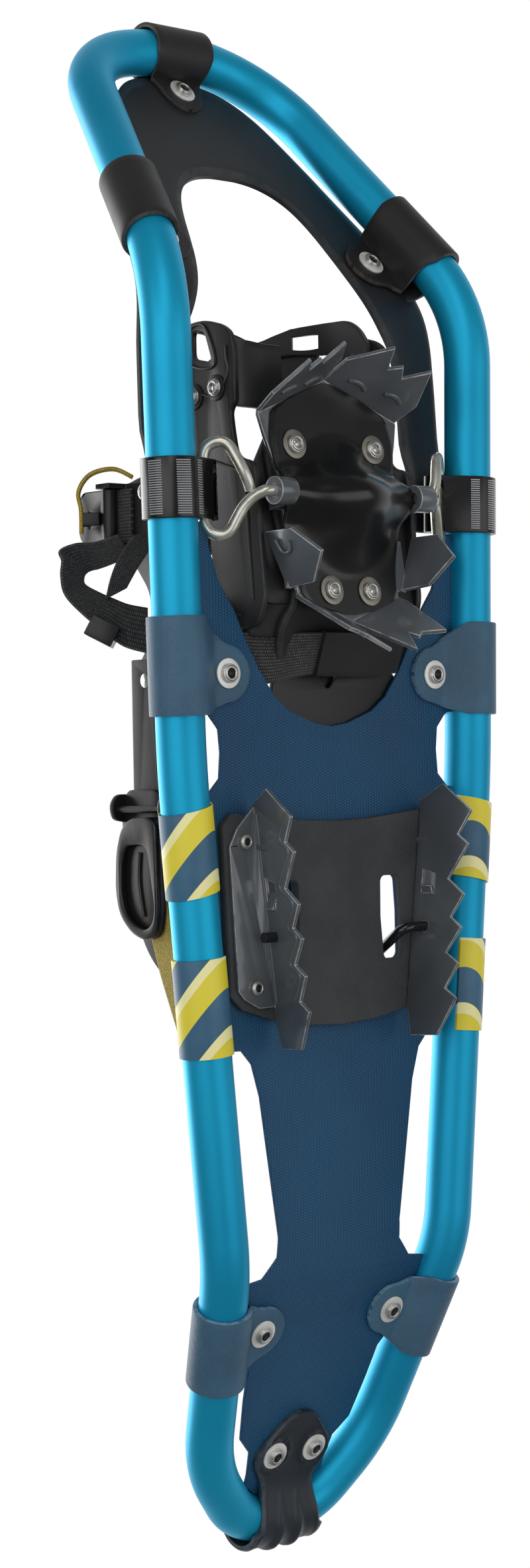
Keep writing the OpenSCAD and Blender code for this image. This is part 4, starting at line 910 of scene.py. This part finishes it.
# ---- toe deck: two legs that bend up into the sloping front
def toe_deck():
    """Builds the deck across, from the right leg over the toe to the left leg."""
    pairs = [((92.5, 120), (68.6, 120)), ((92.5, 146), (68.2, 146)), ((92, 174), (67.6, 168)),
             ((91.2, 200), (67, 184)), ((89.6, 218), (66.2, 196)), ((87.4, 234), (63.6, 207)),
             ((84.2, 248), (58, 218)), ((80.2, 260), (52.6, 230)), ((75.8, 270), (48.2, 242)),
             ((71.4, 278.5), (44.6, 254)), ((66.6, 288), (41.6, 264)), ((61.6, 298), (38.2, 272.4)),
             ((56, 308.5), (34, 279)), ((50, 319), (28.6, 284)), ((43.4, 328.6), (22.6, 287.4)),
             ((35, 336.6), (16, 289.6)), ((25.6, 341.6), (8.6, 290.8)), ((13, 344.6), (4, 291)),
             ((0, 345.4), (0, 291))]  # outer and inner edge, (x, y)
    outer, inner = (smooth_curve([(*pair[k], 0) for pair in pairs], 4) for k in (0, 1))
    slope, leg, seat, half, across = math.tan(DECK_TILT), 21.0, 13.9, 1.75, 12

    def level(y):
        """Height of the snow face: seated on the band, easing down, flat, then up the slope."""
        if y >= 240:
            base = leg
        elif y > 165:
            base = leg - 1.6 + 1.6 * min(1.0, (y - 165) / 35)
        else:
            base = seat + (leg - 1.6 - seat) * ease((y - 143) / 22)
        if y <= 190:
            return base
        d = (y - 228) / 16
        return base + slope * (16 * (math.log1p(math.exp(d * 2.2)) / 2.2) if d < 12 else y - 228)

    rings = []
    for a, b in zip(outer, inner):
        p, q = (Vector((e.x, e.y, level(e.y) + half)) for e in (b, a))
        ring_low, ring_high = [], []
        w = max((q - p).length, 1e-3)
        for k in range(across + 1):
            f = k / across
            m = Vector((p.x + (q.x - p.x) * f, p.y + (q.y - p.y) * f, 0))
            bead = 0.9 * math.exp(-((f * w - 1.5) / 0.9) ** 2)
            edge = 0.8 * max(0.0, 1 - min(f, 1 - f) * w / 0.9) ** 2
            n = Vector((0, level(m.y - 0.5) - level(m.y + 0.5), 1)).normalized()
            mid = Vector((m.x, m.y, level(m.y))) + n * half
            ring_low.append(mid - n * (half - edge + bead))
            ring_high.append(mid + n * (half - edge))
        rings.append(ring_low + ring_high[::-1])
    rings += [[Vector((-v.x, v.y, v.z)) for v in ring] for ring in rings[-2::-1]]
    stand_in(surface("toe_deck_moulding", rings, [0, across - 1, across, across + 1]), "toe_deck")


toe_deck()


# ---- crampon cover: pressed sheet with a tunnel over the axle
def crampon_cover():
    """Builds the cover from the front back, as rows across it."""
    outline = [(54.5, 3), (52, 10), (47, 22), (41, 33.5), (36, 36.2), (27, 38), (20, 37.4), (12, 36.2),
               (7, 38), (0, 39), (-6, 38.4), (-12, 36), (-20, 33.6), (-28, 31.4), (-36, 30.2), (-44, 29),
               (-48.5, 24), (-51.5, 14), (-53.5, 3)]
    fine = smooth_curve([Vector((b, a, 0)) for a, b in outline], 4)
    base, wall, across = 9.06, 1.3, 46

    def swell(t):
        return (1 - t * t) ** 1.6 if t < 1 else 0.0

    def depth(x, v):
        """Depth of the pressing: a low tunnel over the axle, met by a broad oval dome in the middle."""
        off = ease((abs(x) - 14) / 22)
        tunnel = (14.6 - 3.4 * off) * swell(abs(v - 0.5) / (18.5 - 5 * off))
        dome = 17.6 * swell(math.hypot(x / 33, (v + 3.5) / 33))
        return (tunnel ** 2 + dome ** 2) ** 0.5 * 0.92

    rows = []
    for q in fine:
        v, w = q.y, q.x
        top, under = [], []
        for k in range(across + 1):
            x = -w + 2 * w * k / across
            g = Vector((depth(x + 0.4, v) - depth(x - 0.4, v), depth(x, v + 0.4) - depth(x, v - 0.4), 0)) / 0.8
            n = Vector((g.x, g.y, 1)).normalized()
            p = Vector((x, v, base - depth(x, v)))
            edge = 0.5 * max(0.0, 1 - (w - abs(x)) / 0.8) ** 2
            top.append(PLATE @ (p + n * edge))
            under.append(PLATE @ (p + n * wall))
        rows.append(top + under[::-1])
    stand_in(surface("crampon_cover_pressing", rows, [0, across - 1, across, 2 * across + 1]), "crampon_cover")


crampon_cover()


# ---- webbing that the binding is strapped with
LEAN_Q, LEAN_E = Vector((0.755, 0, 0.656)), Vector((-0.656, 0, 0.755))


def lean(q, y, e):
    """A point on the leaning side of the instep: q down it, y along the shoe, e out of it."""
    return LEAN_Q * q + Vector((0, y, 0)) + LEAN_E * e


def run_stations(sides, steps):
    """Stations of a strap through pairs of edge points."""
    edges = list(zip(*(smooth_curve([side[k] for side in sides], steps) for k in (0, 1))))
    middle = [(p + q) / 2 for p, q in edges]
    return [(p, q, heading(middle, i).cross(q - p).normalized()) for i, (p, q) in enumerate(edges)]


def flat_pairs(rows):
    """Pairs of edge points from rows of (x, y, z, y, z), where both edges share x."""
    return [((x, y0, z0), (x, y1, z1)) for x, y0, z0, y1, z1 in rows]


def webbing_run(name, sides, node, thick=1.8, edge=0.5):
    """A strap through pairs of edge points, shown in place of its node's CAD mesh."""
    return stand_in(strap(name, run_stations(sides, 6), thick / 2, 10, edge), node)


outer_loop = [((84, 62.5, 12), (84, 84, 20)), ((95.2, 66, 11), (93, 85.8, 20)),
              ((104, 73, 10), (99.8, 88.5, 20)), ((113, 80.4, 9), (106.5, 91.5, 20)),
              ((121.6, 90, 9), (113.2, 95.4, 21)), ((123.6, 99, 10), (113.6, 99.4, 22)),
              ((123.2, 106.4, 12), (111.6, 101.6, 24)), ((124.4, 111.4, 15), (109, 102.6, 26)),
              ((117, 114.4, 16), (104.6, 104, 26)), ((108, 114.8, 16), (99, 106, 25)),
              ((97, 118, 14), (91, 109, 22))]
inner_run = [((103.4, 88.5, 17), (93.6, 93.6, 19)), ((101, 98, 16), (88, 103, 18)),
             ((96.5, 108, 14), (82, 112, 17)), ((90, 117, 12), (78, 121, 16))]
for name, run in (("instep_webbing_loop", outer_loop), ("instep_webbing_inner", inner_run)):
    webbing_run(name, [(lean(*a), lean(*b)) for a, b in run], "instep_tail")

# ---- flat mouldings cut from an outline
def rounded(points, r):
    """A closed outline with every corner rounded by about r."""
    out, n = [], len(points)
    for i in range(n):
        a, b, c = (Vector(points[(i + k - 1) % n]) for k in range(3))
        u, v = a - b, c - b
        cut = min(r, u.length * 0.45, v.length * 0.45)
        p, q = b + u.normalized() * cut, b + v.normalized() * cut
        out += [p.lerp(b, f).lerp(b.lerp(q, f), f) for f in (0, 0.25, 0.5, 0.75, 1)]
    return out


def plate_of(name, frame_, outline, holes, thick, bevel=0.5, corner=3.0, hole_corner=2.5):
    """A flat moulding with holes and rounded edges. The outline lies in frame_'s X and Y, its middle at Z 0."""
    curve = bpy.data.curves.new(name + "_outline", "CURVE")
    curve.dimensions, curve.fill_mode = "2D", "BOTH"
    for points, r in [(outline, corner)] + [(h, hole_corner) for h in holes]:
        ring = rounded([Vector(q).to_2d() for q in points], r)
        spline = curve.splines.new("POLY")
        spline.points.add(len(ring) - 1)
        for slot, q in zip(spline.points, ring):
            slot.co = (q.x, q.y, 0, 1)
        spline.use_cyclic_u = True
    curve.extrude, curve.bevel_depth, curve.bevel_resolution, curve.offset = thick / 2 - bevel, bevel, 2, -bevel
    mesh = solid_mesh(link(name + "_outline", curve))
    bm = bmesh.new()
    bm.from_mesh(mesh)
    bpy.data.meshes.remove(mesh)
    bmesh.ops.remove_doubles(bm, verts=bm.verts, dist=1e-4)
    worn = bm.faces.layers.float.new("worn")
    bmesh.ops.recalc_face_normals(bm, faces=bm.faces)
    for f in bm.faces:
        f[worn] = 1.0 if 0.15 < abs(f.normal.z) < 0.97 else 0.0
    bm.transform(STAND @ frame_)
    return piece_of(name, bm, 50)


# ---- pressed beads in the steel
def claw_plane(root, end, down):
    """Local frame on a claw's face: X from root to end, Y as near to down as it can be."""
    e = (Vector(end) - Vector(root)).normalized()
    f = (Vector(down) - e * Vector(down).dot(e)).normalized()
    return frame_of(root, e, f, e.cross(f))


def plate_at(v, w):
    """The shoe frame's (y, z) of a point of the crampon's plate."""
    p = PLATE @ Vector((0, v, w))
    return p.y, p.z


def beaded(name, points, r, sides=10):
    """A raised rounded bead along points that lie on a face."""
    return sweep(name, smooth_curve(points, 5), round_ring(r, sides))


def pressed(name, local, points, r, node, face):
    """A raised bead on a steel face, with its twin on the other side; points lie in local's X and Y."""
    both_sides(beaded(name, [local @ Vector((x, y, face)) for x, y in points], r), settle, node)


front_claw = claw_plane((-0.4, *plate_at(57, 11.38)), (-43, *plate_at(39, 11.38)), (-0.18, 0.424, -0.888))
for face, side in (("_a", 0.6), ("_b", -0.6)):
    for label, x, y in (("claw_bead_one", 9, 8), ("claw_bead_two", 28, 12)):
        line = [(x, y), (x + 3, y + 1.5), (x + 7, y + 1.5), (x + 10, y)]
        pressed(label + face, front_claw, line, 1.5, "toe_crampon", side)
side_face = (Matrix.Translation((40.4, 102.5, 0)) @ Matrix.Rotation(math.radians(-23), 4, "Z")
             @ frame_of((1.0, 0, 0), (0, 1, 0), (0, 0, 1), (1, 0, 0)))
hook = [(9, -16), (4, -17.5), (2.6, -20.5), (4, -23.5), (8, -24.5)]
pressed("side_claw_bead", side_face, hook, 0.8, "toe_crampon", 1.0)
ROOT, END = Vector((52.4, -8.1, -5.52)), Vector((41.6, -99.4, -5.52))
edge = (END - ROOT).normalized()
LEAN_OUT = math.radians(8)  # the toothed blades lean out from upright
drop = (DOWN * math.cos(LEAN_OUT) - DOWN.cross(edge) * math.sin(LEAN_OUT)).normalized()
BLADE = frame_of(ROOT, edge, drop, edge.cross(drop))
crest = [(3, 26.5), (9, 22.6), (15, 19.6), (20, 25.6), (28, 20.5), (36.6, 15.6), (43.5, 24.6), (54.4, 18.6),
         (59.2, 24.8), (71, 17.2), (76, 24.4), (87.6, 18)]
pressed("bracket_crest_bead", BLADE, crest, 0.8, "heel_brackets", 0.75)
pressed("bracket_fold_bead", BLADE, [(4, 2.4), (30, 2.4), (60, 2.4), (90, 2.4)], 0.9, "heel_brackets", 0.7)
pressed("bracket_gusset", BLADE, [(19, -3.6), (19, 1), (19, 6), (19, 9)], 1.5, "heel_brackets", 0.4)

# ---- footbed, heel plate and the arms that carry the harness
BEND = PLATE @ Vector((0, -50, 12.4))  # where the footbed leaves the crampon's plate
BED_END, BED_END_Z = 48, 1.25


def bed_low(y):
    """Height of the footbed's snow face."""
    if y > BEND.y:
        return BEND.z + (y - BEND.y) * math.tan(PLATE_TILT)
    return BED_END_Z + (BEND.z - BED_END_Z) * max(0.0, (y - BED_END) / (BEND.y - BED_END))


def footbed():
    """Builds the footbed from the toe back, as rows across it."""
    outline = [(184, 12), (182, 24), (178, 31), (170, 36), (158, 38), (140, 38), (120, 37), (106, 34.5),
               (98, 32), (92, 31), (86, 32), (80, 34.4), (74, 36.6), (68, 37), (62, 35), (57, 31), (54, 27)]
    fine = smooth_curve([Vector((a, b, 0)) for a, b in outline], 4)
    across, rows = 26, []
    for q in fine:
        sag = max(0.0, 1 - (q.x - 54) / 16)
        low, high = [], []
        for k in range(across + 1):
            f = -1 + 2 * k / across
            x = q.y * f
            y = q.x + 3.3 * sag * (1 - f * f) - 3 * sag
            z = bed_low(y)
            n = Vector((0, bed_low(y - 0.5) - bed_low(y + 0.5), 1)).normalized()
            rim = 0.7 * math.exp(-((q.y * (1 - abs(f)) - 1.8) / 1.0) ** 2)
            edge = 0.8 * max(0.0, 1 - q.y * (1 - abs(f)) / 0.9) ** 2
            low.append(Vector((x, y, z)) + n * (edge - rim))
            high.append(Vector((x, y, z)) + n * (3.0 - edge))
        rows.append(low + high[::-1])
    stand_in(surface("footbed_moulding", rows, [0, across - 1, across, across + 1]), "footbed")


footbed()


def heel_plate():
    """Builds the plate under the heel and the slotted tread on it."""
    low = [(0, 43), (7, 52), (31, 52), (34, 45), (34, 30), (28, 18), (26.5, 0), (26.5, -62), (22, -72), (12, -76),
           (-12, -76), (-22, -72), (-26.5, -62), (-26.5, 0), (-28, 18), (-36, 32), (-44, 45), (-42, 52), (-7, 52)]
    stand_in(plate_of("heel_plate_base", Matrix.Translation((0, 0, 2.75)), low, [], 3.0, 0.6, 4), "heel_plate")
    side = [(18, 51), (25, 38), (26, 8), (25, -58), (20, -70), (10, -73)]
    tread = side + [(-x, y) for x, y in side[::-1]]
    slots = [[(x - 2, y), (x + 2, y), (x + 2, y - 10), (x - 2, y - 10)]
             for x in (-15, -5, 5, 15) for y in range(12, -53, -16)]
    at_tread = Matrix.Translation((0, 0, 5.7))
    settle(plate_of("heel_plate_tread", at_tread, tread, slots, 2.9, 0.6, 5, 1.6), "heel_plate")


heel_plate()


def harness_wing():
    """The side plate with its toe arm and strap arms, and the root that bends down into the footbed."""
    wing = frame_of((47.5, 0, 0), (0, 1, 0), (0, 0, 1), (1, 0, 0))
    outline = [(72, -6), (84, -12), (146, -6), (149, 6), (160, 8.5), (170, 10), (174, 6.5), (199, 7), (206, 9),
               (210, 15), (213.4, 27), (213, 39), (207, 48), (196, 51), (182, 50), (172, 47), (162, 48), (150, 58),
               (144, 84), (140, 98), (116, 98), (108, 84), (92, 71), (74, 67), (56, 81), (44, 81), (37, 68), (44, 55),
               (60, 50), (68, 30)]
    holes = [[(209, 35.5), (208.5, 27.6), (193.5, 22.2), (196.5, 35.5)], [(96, 24), (119, 26), (106, 48)]]
    plate = plate_of("harness_wing", wing, outline, holes, 3.0, 0.8, 5, 3)
    rim = [(210.6, 37.6), (210.4, 26.4), (192, 19.6), (194.6, 37.6), (210.6, 37.6)]
    outer = [(84, -4), (110, -2), (138, 1), (146, 14), (150, 34), (144, 52)]
    inner = [(78, 4), (74, 24), (66, 44), (54, 54), (46, 66)]
    vee = [(49.1, 200, 12), (49.0, 194, 11.5), (48.6, 189, 10.5), (49.1, 182, 14), (49.1, 178, 22), (49.1, 180, 30)]
    lines = [(label, [(49.0, y, z) for y, z in line])
             for label, line in (("window", rim), ("outer", outer), ("inner", inner))] + [("vee", vee)]
    parts = [beaded("wing_bead_" + label, line, 0.7) for label, line in lines]
    root = [(23, 201, 5.6, 171, 3.6), (33, 201, 5.6, 171, 3.6), (40, 202, 6.8, 171.5, 5),
            (44.6, 203, 9.6, 172, 8), (47, 205.5, 14, 173, 13), (47.5, 208, 19, 173, 18)]
    arm = [(30, 84, bed_low(84) + 3.4, 68, bed_low(68) + 3.4), (38, 84, -4.5, 67.5, -0.5), (44.5, 82, 1.5, 68, 4),
           (47.3, 81, 10, 69, 12)]
    for label, run, across in (("root", root, 10), ("rear_arm", arm, 8)):
        parts.append(strap("wing_" + label, run_stations(flat_pairs(run), 5), 1.5, across, 0.6))
    flange = [(9, 36), (30, 36), (46, 12), (46, -48), (9, -48), (9, -34), (26, -28), (26, 8), (9, 16)]
    parts.append(plate_of("wing_flange", PLATE @ Matrix.Translation((0, 0, 17.0)), flange, [], 3.0, 0.6, 4))
    both_sides(plate, stand_in, "harness_right", "harness_left")
    for part in parts:
        both_sides(part, settle, "harness_right", "harness_left")


harness_wing()

# ---- webbing under the foot
outer_run = [(12, 51, -3.4, 69.5, -10.6), (24, 49.5, -2.6, 69.2, -9.6), (33, 47, 1.4, 69, -3.4),
             (42, 46, 3.6, 69.5, 3), (53, 46.5, 6.4, 70.5, 6), (62, 50, 10, 73, 10), (64.5, 56, 17, 78, 17),
             (60, 62, 25, 84, 25), (52, 66, 30, 88, 30)]
inner_run = [(-30, 51.5, -3.4, 69.5, -10.6), (-38, 52, 0, 70, -3), (-46, 53, 4, 72, 4), (-58, 56, 8, 75, 8),
             (-66, 60, 14, 80, 14), (-66, 65, 23, 86, 23), (-60, 69, 29, 90, 29), (-52, 72, 33, 92, 33)]
sleeve = [(14, 50, -5.2, 70, -12.6), (0, 49.6, -5.4, 69.8, -12.8), (-16, 49.8, -5.4, 69.8, -12.8),
          (-37, 51.5, -4.6, 70, -12)]
webbing_run("underfoot_webbing_outer", flat_pairs(outer_run), "underfoot_strap")
webbing_run("underfoot_webbing_inner", flat_pairs(inner_run), "underfoot_strap")
sleeve_piece = webbing_run("underfoot_sleeve", flat_pairs(sleeve), "underfoot_strap", 2.6, 0.8)
sleeve_piece.data.materials[0] = MAT["harness_mould"]

# ---- mustard pull strap on the instep lever
PIN = Vector((60.3, 128, 89))
pull = [(11.2, -8), (11.2, 3), (12.2, 12), (6.6, 20), (-4.4, 22.5), (-13.4, 18.5)]
webbing_run("pull_strap", [(PIN + lean(q, y, 1.3), PIN + lean(q, y, 7.8)) for q, y in pull], "pull_loop")

# ---- toe cage: an arm from each side plate, lapped over the toes, each with a window
def over_toes(name, r, rows):
    """A band on the toe arch. Rows are (angle, back edge, front edge); past either end it runs straight down."""
    sides = []
    for a, y0, y1 in rows:
        turn = math.radians(max(0, min(180, a)))
        x, z = r * math.cos(turn), 42 + r * math.sin(turn) + min(a, 0) - max(a - 180, 0)
        sides.append((Vector((x, y0, z)), Vector((x, y1, z))))
    webbing_run(name, sides, "toe_loop", 2.4, 0.6)


over_toes("toe_arm_back_rail", 46.2, [
    (-4, 187, 203), (0, 187, 204), (30, 187, 204), (60, 187, 204), (90, 187, 204.4), (98, 187, 207), (106, 187, 212),
    (118, 187, 211), (128, 187.5, 208), (136, 188.5, 207.6), (143, 190, 208.4), (150, 191, 209), (158, 192, 208.8),
    (166, 194, 208.2)])
over_toes("toe_arm_front_rail", 46.3, [
    (-4, 206, 210), (0, 208, 213), (30, 212, 218), (60, 216, 221.5), (90, 218.4, 223), (98, 216, 222.4),
    (106, 211, 221), (118, 206, 217.5), (128, 202, 212.5), (136, 197, 205)])
for label, rows in (
        ("lap", [(104, 202, 212), (126, 205, 214.7), (138, 207, 218), (150, 208, 221)]),
        ("back_rail", [(148, 207.9, 211), (155, 207.7, 210.2), (163, 207.3, 210), (172, 206.5, 210.4)]),
        ("front_rail", [(148, 216.5, 220.6), (155, 216.8, 221.3), (163, 217, 221.7), (172, 216.5, 221.9)]),
        ("root", [(170, 206.8, 221.9), (180, 205.8, 221.8), (192, 203, 221), (200, 199, 216.5), (206, 196, 209)])):
    over_toes("toe_band_" + label, 43.4, rows)

# ---- heel buckle with its long lever, and the mustard tail that comes out under it
SIDE_FACE = Matrix(((0, 0, 1, 0), (1, 0, 0, 0), (0, 1, 0, 0), (0, 0, 0, 1)))


def side_plate(name, x, outline, holes, *form):
    """A flat moulding whose outline is given in the shoe's (y, z), with its middle at x."""
    return plate_of(name, Matrix.Translation((x, 0, 0)) @ SIDE_FACE, outline, holes, *form)


lever = [(-13.5, 57), (-14, 70), (-19, 77), (-30, 81), (-48, 82), (-60, 79), (-68, 70), (-71, 60), (-68, 53),
         (-58, 50.6), (-16, 51.4)]
recess = [(-26, 58), (-27, 74), (-34, 77), (-48, 78), (-58, 75), (-64, 68), (-66, 60), (-63, 55), (-56, 53)]
stand_in(side_plate("heel_lever_floor", 59.4, lever, [], 2.6, 0.5, 6), "heel_lever")
settle(side_plate("heel_lever_rim", 62.2, lever, [recess], 3.4, 0.9, 6, 6), "heel_lever")
settle(beaded("heel_lever_rib", [(60.8, -30, 66), (60.8, -44, 67), (60.8, -60, 64)], 1.1, 12), "heel_lever")
plate = [(-1, 57), (-1, 80), (-6, 84), (-16, 85), (-46, 84), (-55, 79), (-56, 62), (-50, 56)]
stand_in(side_plate("heel_buckle_plate", 54.9, plate, [], 3.4, 0.7, 5), "heel_buckle")
ear = [(-3, -6), (-3, 3), (-8, 6.4), (-15, 5), (-17, -6)]
for k, z in enumerate((83.6, 48.2)):
    turned_up = Matrix.Translation((58, 0, z)) @ Matrix(((0, 1, 0, 0), (1, 0, 0, 0), (0, 0, -1, 0), (0, 0, 0, 1)))
    settle(plate_of("heel_buckle_ear_%d" % k, turned_up, ear, [], 2.6, 0.5, 3), "heel_buckle")
pin_line = [Vector((60.4, -10, z)) for z in (46.4, 85.4)]
settle(sweep("heel_buckle_pin", pin_line, round_ring(1.6, 16)), "heel_buckle")
tail = [(57, -50, 68, -50, 52), (56.4, -66, 65, -66, 49), (55, -84, 60.6, -84, 44.6),
        (52, -104, 55.6, -104, 39.6), (47.6, -126, 51, -126, 35)]
webbing_run("heel_webbing_tail", flat_pairs(tail), "strap_tail")

# ---- ladder bars on the pivot bands: real relief, with their pale grey a painted highlight on the glossy black embossing
for label, sign in (("right", 1), ("left", -1)):
    # each ladder's start and sweep in degrees round the rail, and its radius
    for k, (start, sweep_, radius) in enumerate(((-33, 28, 13.72), (-89, 28, 13.72), (-128, 18, 13.9))):
        mesh = grown("band_ladder", LADDER, Count=23, Pitch=1.05 * MM, Radius=radius * MM, Start=math.radians(start),
                     Sweep=math.radians(sweep_), Bar=0.34 * MM, Finish=MAT["band_ladder"])
        mesh.transform(STAND @ on_rail(PIVOT_Y) @ Matrix.Rotation(math.radians(90), 4, "X") @ Matrix.Scale(1 / MM, 4))
        if sign < 0:
            mesh.transform(FLIP)
            mesh.flip_normals()
        settle(link("band_ladder_%s_%d" % (label, k), mesh), "pivot_bands")

# ---- rolled eyelets on the rivet heads; the near-black discs in the frame rivets' eyelets are painted shade of the holes
lip = turned("eyelet_lip", [(2.15, -0.2), (2.3, 0.35), (2.8, 0.65), (3.3, 0.5), (3.7, 0.1), (3.75, -0.2)])
well = turned("eyelet_well", [(0.0, 0.05), (2.5, 0.05), (2.5, -0.2), (0.0, -0.2)])


def side_spots(sign, x, places, size, way=1):
    """Spots on one side of the binding at x from the middle, facing out (way 1) or in (way -1)."""
    return [(Vector((sign * x, y, z)), Vector((sign * way, 0, 0)), size) for y, z in places]


TOE_FACING = TOE_PLANE.to_3x3() @ DOWN
WING_RIVETS = ((178.9, 34.6), (181.5, 19.2))
SMALL = 0.82  # size of the small buttons against the full one
# spots are (point, facing, size); low is how far a rivet head's face stands off its lap's frame
frame_spots, binding_spots, arm_spots, other_spots = [], [], [], []
for local, x, y, low in ((on_rail(54), -25.74, -3.7, 5.7), (on_tail(), -22.5, 0, 5.7),
                         (TAIL_PLANE, 12.2, -103.25, 5.7), (TOE_PLANE, 64, 27.33, 4.9)):
    p, n = local @ Vector((x, y, -low)), local.to_3x3() @ DOWN
    frame_spots += [(p, n, 1.0), (FLIP @ p, FLIP @ n, 1.0)]
frame_spots.append((TOE_PLANE @ Vector((0, 134.18, -4.9)), TOE_FACING, 1.0))
frame_spots += [(Vector((sign * x, y, -8.04)), DOWN, 0.78)
                for sign in (1, -1) for x, y in ((58.6, -24.4), (53.6, -90.2))]
for sign in (1, -1):
    binding_spots += [(PLATE @ Vector((sign * x, y, 6.54)), PLATE.to_3x3() @ DOWN, 1.0)
                      for x, y in ((24.3, 24.5), (11.7, -42.7))]
    binding_spots += side_spots(sign, 50.9, WING_RIVETS, 0.95)
    arm_spots += side_spots(sign, 50.8, WING_RIVETS, 0.95)
for x, places, way in ((50.7, ((124, 46), (137, 40), (201, 43.4)), 1), (42.4, ((201, 43.4),), -1),
                       (54.1, ((50, 69),), 1)):
    other_spots += side_spots(1, x, places, SMALL, way) + side_spots(-1, x, places, SMALL, way)
other_spots += [(Vector((x, 37, 7.9)), Vector((0, 0, 1)), SMALL) for x in (12, -12)]
other_spots += side_spots(-1, 52.5, ((128, 84),), SMALL) + side_spots(1, 52.7, ((128, 66),), SMALL)
settle(set_out("eyelet_lips_frame", lip, frame_spots, "rivet_steel"), "clip_rivets")
settle(set_out("eyelet_lips_binding", lip, binding_spots, "rivet_steel"), "crampon_rivets")
# painted shade: near-black discs over the frame rivets' holes
settle(set_out("eyelet_wells", well, frame_spots, "eyelet_dark"), "clip_rivets")
settle(set_out("rivet_faces", well, binding_spots, "rivet_steel"), "crampon_rivets")
button = turned("button", [(0.0, -1.7), (4.3, -1.7), (4.3, -0.5), (3.6, 0.0), (0.0, 0.0)])
washer = turned("washer", [(2.0, 0.0), (6.2, 0.0), (6.4, 0.3), (6.2, 0.6), (2.0, 0.6)])
stand_in(set_out("arm_rivets", button, arm_spots + other_spots, "rivet_steel"), "harness_rivets")
seats = [(p + n * -1.8, n, size) for p, n, size in arm_spots]
settle(set_out("arm_washers", washer, seats, "black_rubber"), "harness_rivets")
for piece in (lip, well, button, washer):
    bpy.data.objects.remove(piece)

# ---- CAD nodes with softened edges
SOFT = {  # rounding of each node's edges in mm
    "main_deck": 0.35, "fore_wraps": 0.2, "aft_wraps": 0.2, "clip_rivets": 0.4, "clip_washers": 0.2,
    "pivot_bands": 0.5, "heel_pad": 0.7, "heel_brackets": 0.35, "bracket_rivets": 0.35, "toe_crampon": 0.4,
    "crampon_rivets": 0.4, "crampon_washers": 0.2, "slide_buckle": 0.6, "instep_buckle": 0.4, "instep_lever": 0.6,
    "heel_strap": 0.9, "instep_strap": 0.3,
}


ARCH_R, ARCH_Z = 49, 96  # the instep strap's arch over the foot


def over_instep(p):
    """Along and across the instep strap."""
    if p.z < ARCH_Z:
        return math.copysign(math.pi / 2 * ARCH_R + ARCH_Z - p.z, p.x), p.y
    return math.asin(max(-1, min(1, p.x / max(1.0, math.hypot(p.x, p.z - ARCH_Z))))) * ARCH_R, p.y


WOVEN = {"instep_strap": over_instep}
OWN_FINISH = {"pivot_bands": "gloss_black", "clip_washers": "washer_pale"}
for name, width in SOFT.items():
    piece = soften(name, width, run=WOVEN.get(name))
    if name in OWN_FINISH:
        piece.data.materials[0] = MAT[OWN_FINISH[name]]
splice = frame["nodes"]["frame_splice"].data.materials
splice.clear()
splice.append(MAT["splice_metal"])


# ---- room and light
def ray_share(t, names):
    """1 for rays of these kinds."""
    path = t.node("ShaderNodeLightPath").outputs
    total = path[names[0]]
    for n in names[1:]:
        total = t.math("MAXIMUM", total, path[n])
    return total


FILL = 0.62  # even light on every side
ROOM_DIM, ROOM_GAIN = 0.14, 0.80  # the room in front of the shoe, and how much paler it gets behind the shoe


def make_world():
    """White behind the shoe, a dim room with pale walls in front of it, and even fill light."""
    world = bpy.data.worlds.new("studio")
    world.use_nodes = True
    t = Tree(world.node_tree)
    back = world.node_tree.nodes["Background"]
    ray = t.node("ShaderNodeTexCoord").outputs["Generated"]
    behind = t.node("ShaderNodeVectorMath", {0: ray, 1: TURN @ AHEAD}, operation="DOT_PRODUCT").outputs["Value"]
    seen = t.smooth(behind, 0.1, 0.9)
    level = t.math("MULTIPLY_ADD", seen, ROOM_GAIN, ROOM_DIM)
    level = t.math("MAXIMUM", level, ray_share(t, ["Is Camera Ray", "Is Transmission Ray"]))
    fill = ray_share(t, ["Is Diffuse Ray"])
    level = t.plus(t.times(fill, FILL), t.times(t.math("SUBTRACT", 1.0, fill), level))
    t.feed(back.inputs[0], t.join(level, level, level))
    back.inputs[1].default_value = 1.0
    bpy.context.scene.world = world


def make_floor():
    """Pale floor that only shows from above, so that the underside is seen past it."""
    bpy.ops.mesh.primitive_plane_add(size=12, location=(0, 0, -0.0005))
    floor = bpy.context.object
    floor.name = "floor"
    m = bpy.data.materials.new("floor_pale")
    m.use_nodes = True
    t = Tree(m.node_tree)
    shader = m.node_tree.nodes["Principled BSDF"]
    shader.inputs["Base Color"].default_value = (0.86, 0.86, 0.86, 1)
    shader.inputs["Roughness"].default_value = 0.9
    shader.inputs["Specular IOR Level"].default_value = 0.1
    path = t.node("ShaderNodeLightPath").outputs
    under = t.node("ShaderNodeNewGeometry").outputs["Backfacing"]
    shown = t.times(path["Is Camera Ray"], t.math("SUBTRACT", 1.0, under))
    mixed = t.node("ShaderNodeMixShader", {0: shown, 1: t.node("ShaderNodeBsdfTransparent").outputs[0],
                                           2: shader.outputs[0]})
    m.node_tree.links.new(mixed.outputs[0], m.node_tree.nodes["Material Output"].inputs[0])
    floor.data.materials.append(m)


def lamp(name, place, aim, size, power):
    """An area lamp at place, in metres, that points at aim."""
    data = bpy.data.lights.new(name, "AREA")
    data.shape = "RECTANGLE"
    data.size, data.size_y = size
    data.energy = power
    obj = link(name, data)
    obj.location = place
    obj.rotation_euler = (Vector(aim) - Vector(place)).to_track_quat("-Z", "Y").to_euler()


make_world()
make_floor()
lamp("softbox_outer", (1.9, 0.3, -0.7), (0, 0, 0.05), (1.2, 2.4), 11)
lamp("softbox_inner", (-0.6, 0.2, -2.0), (0, 0, 0.05), (1.2, 2.4), 9)
lamp("softbox_front", (1.2, 1.6, -1.4), (0, 0.1, 0.05), (1.4, 1.0), 7)
lamp("overhead", (0.3, -0.2, 2.0), (0, 0, 0.05), (1.8, 1.8), 26)
bpy.context.scene.view_settings.view_transform = "Standard"
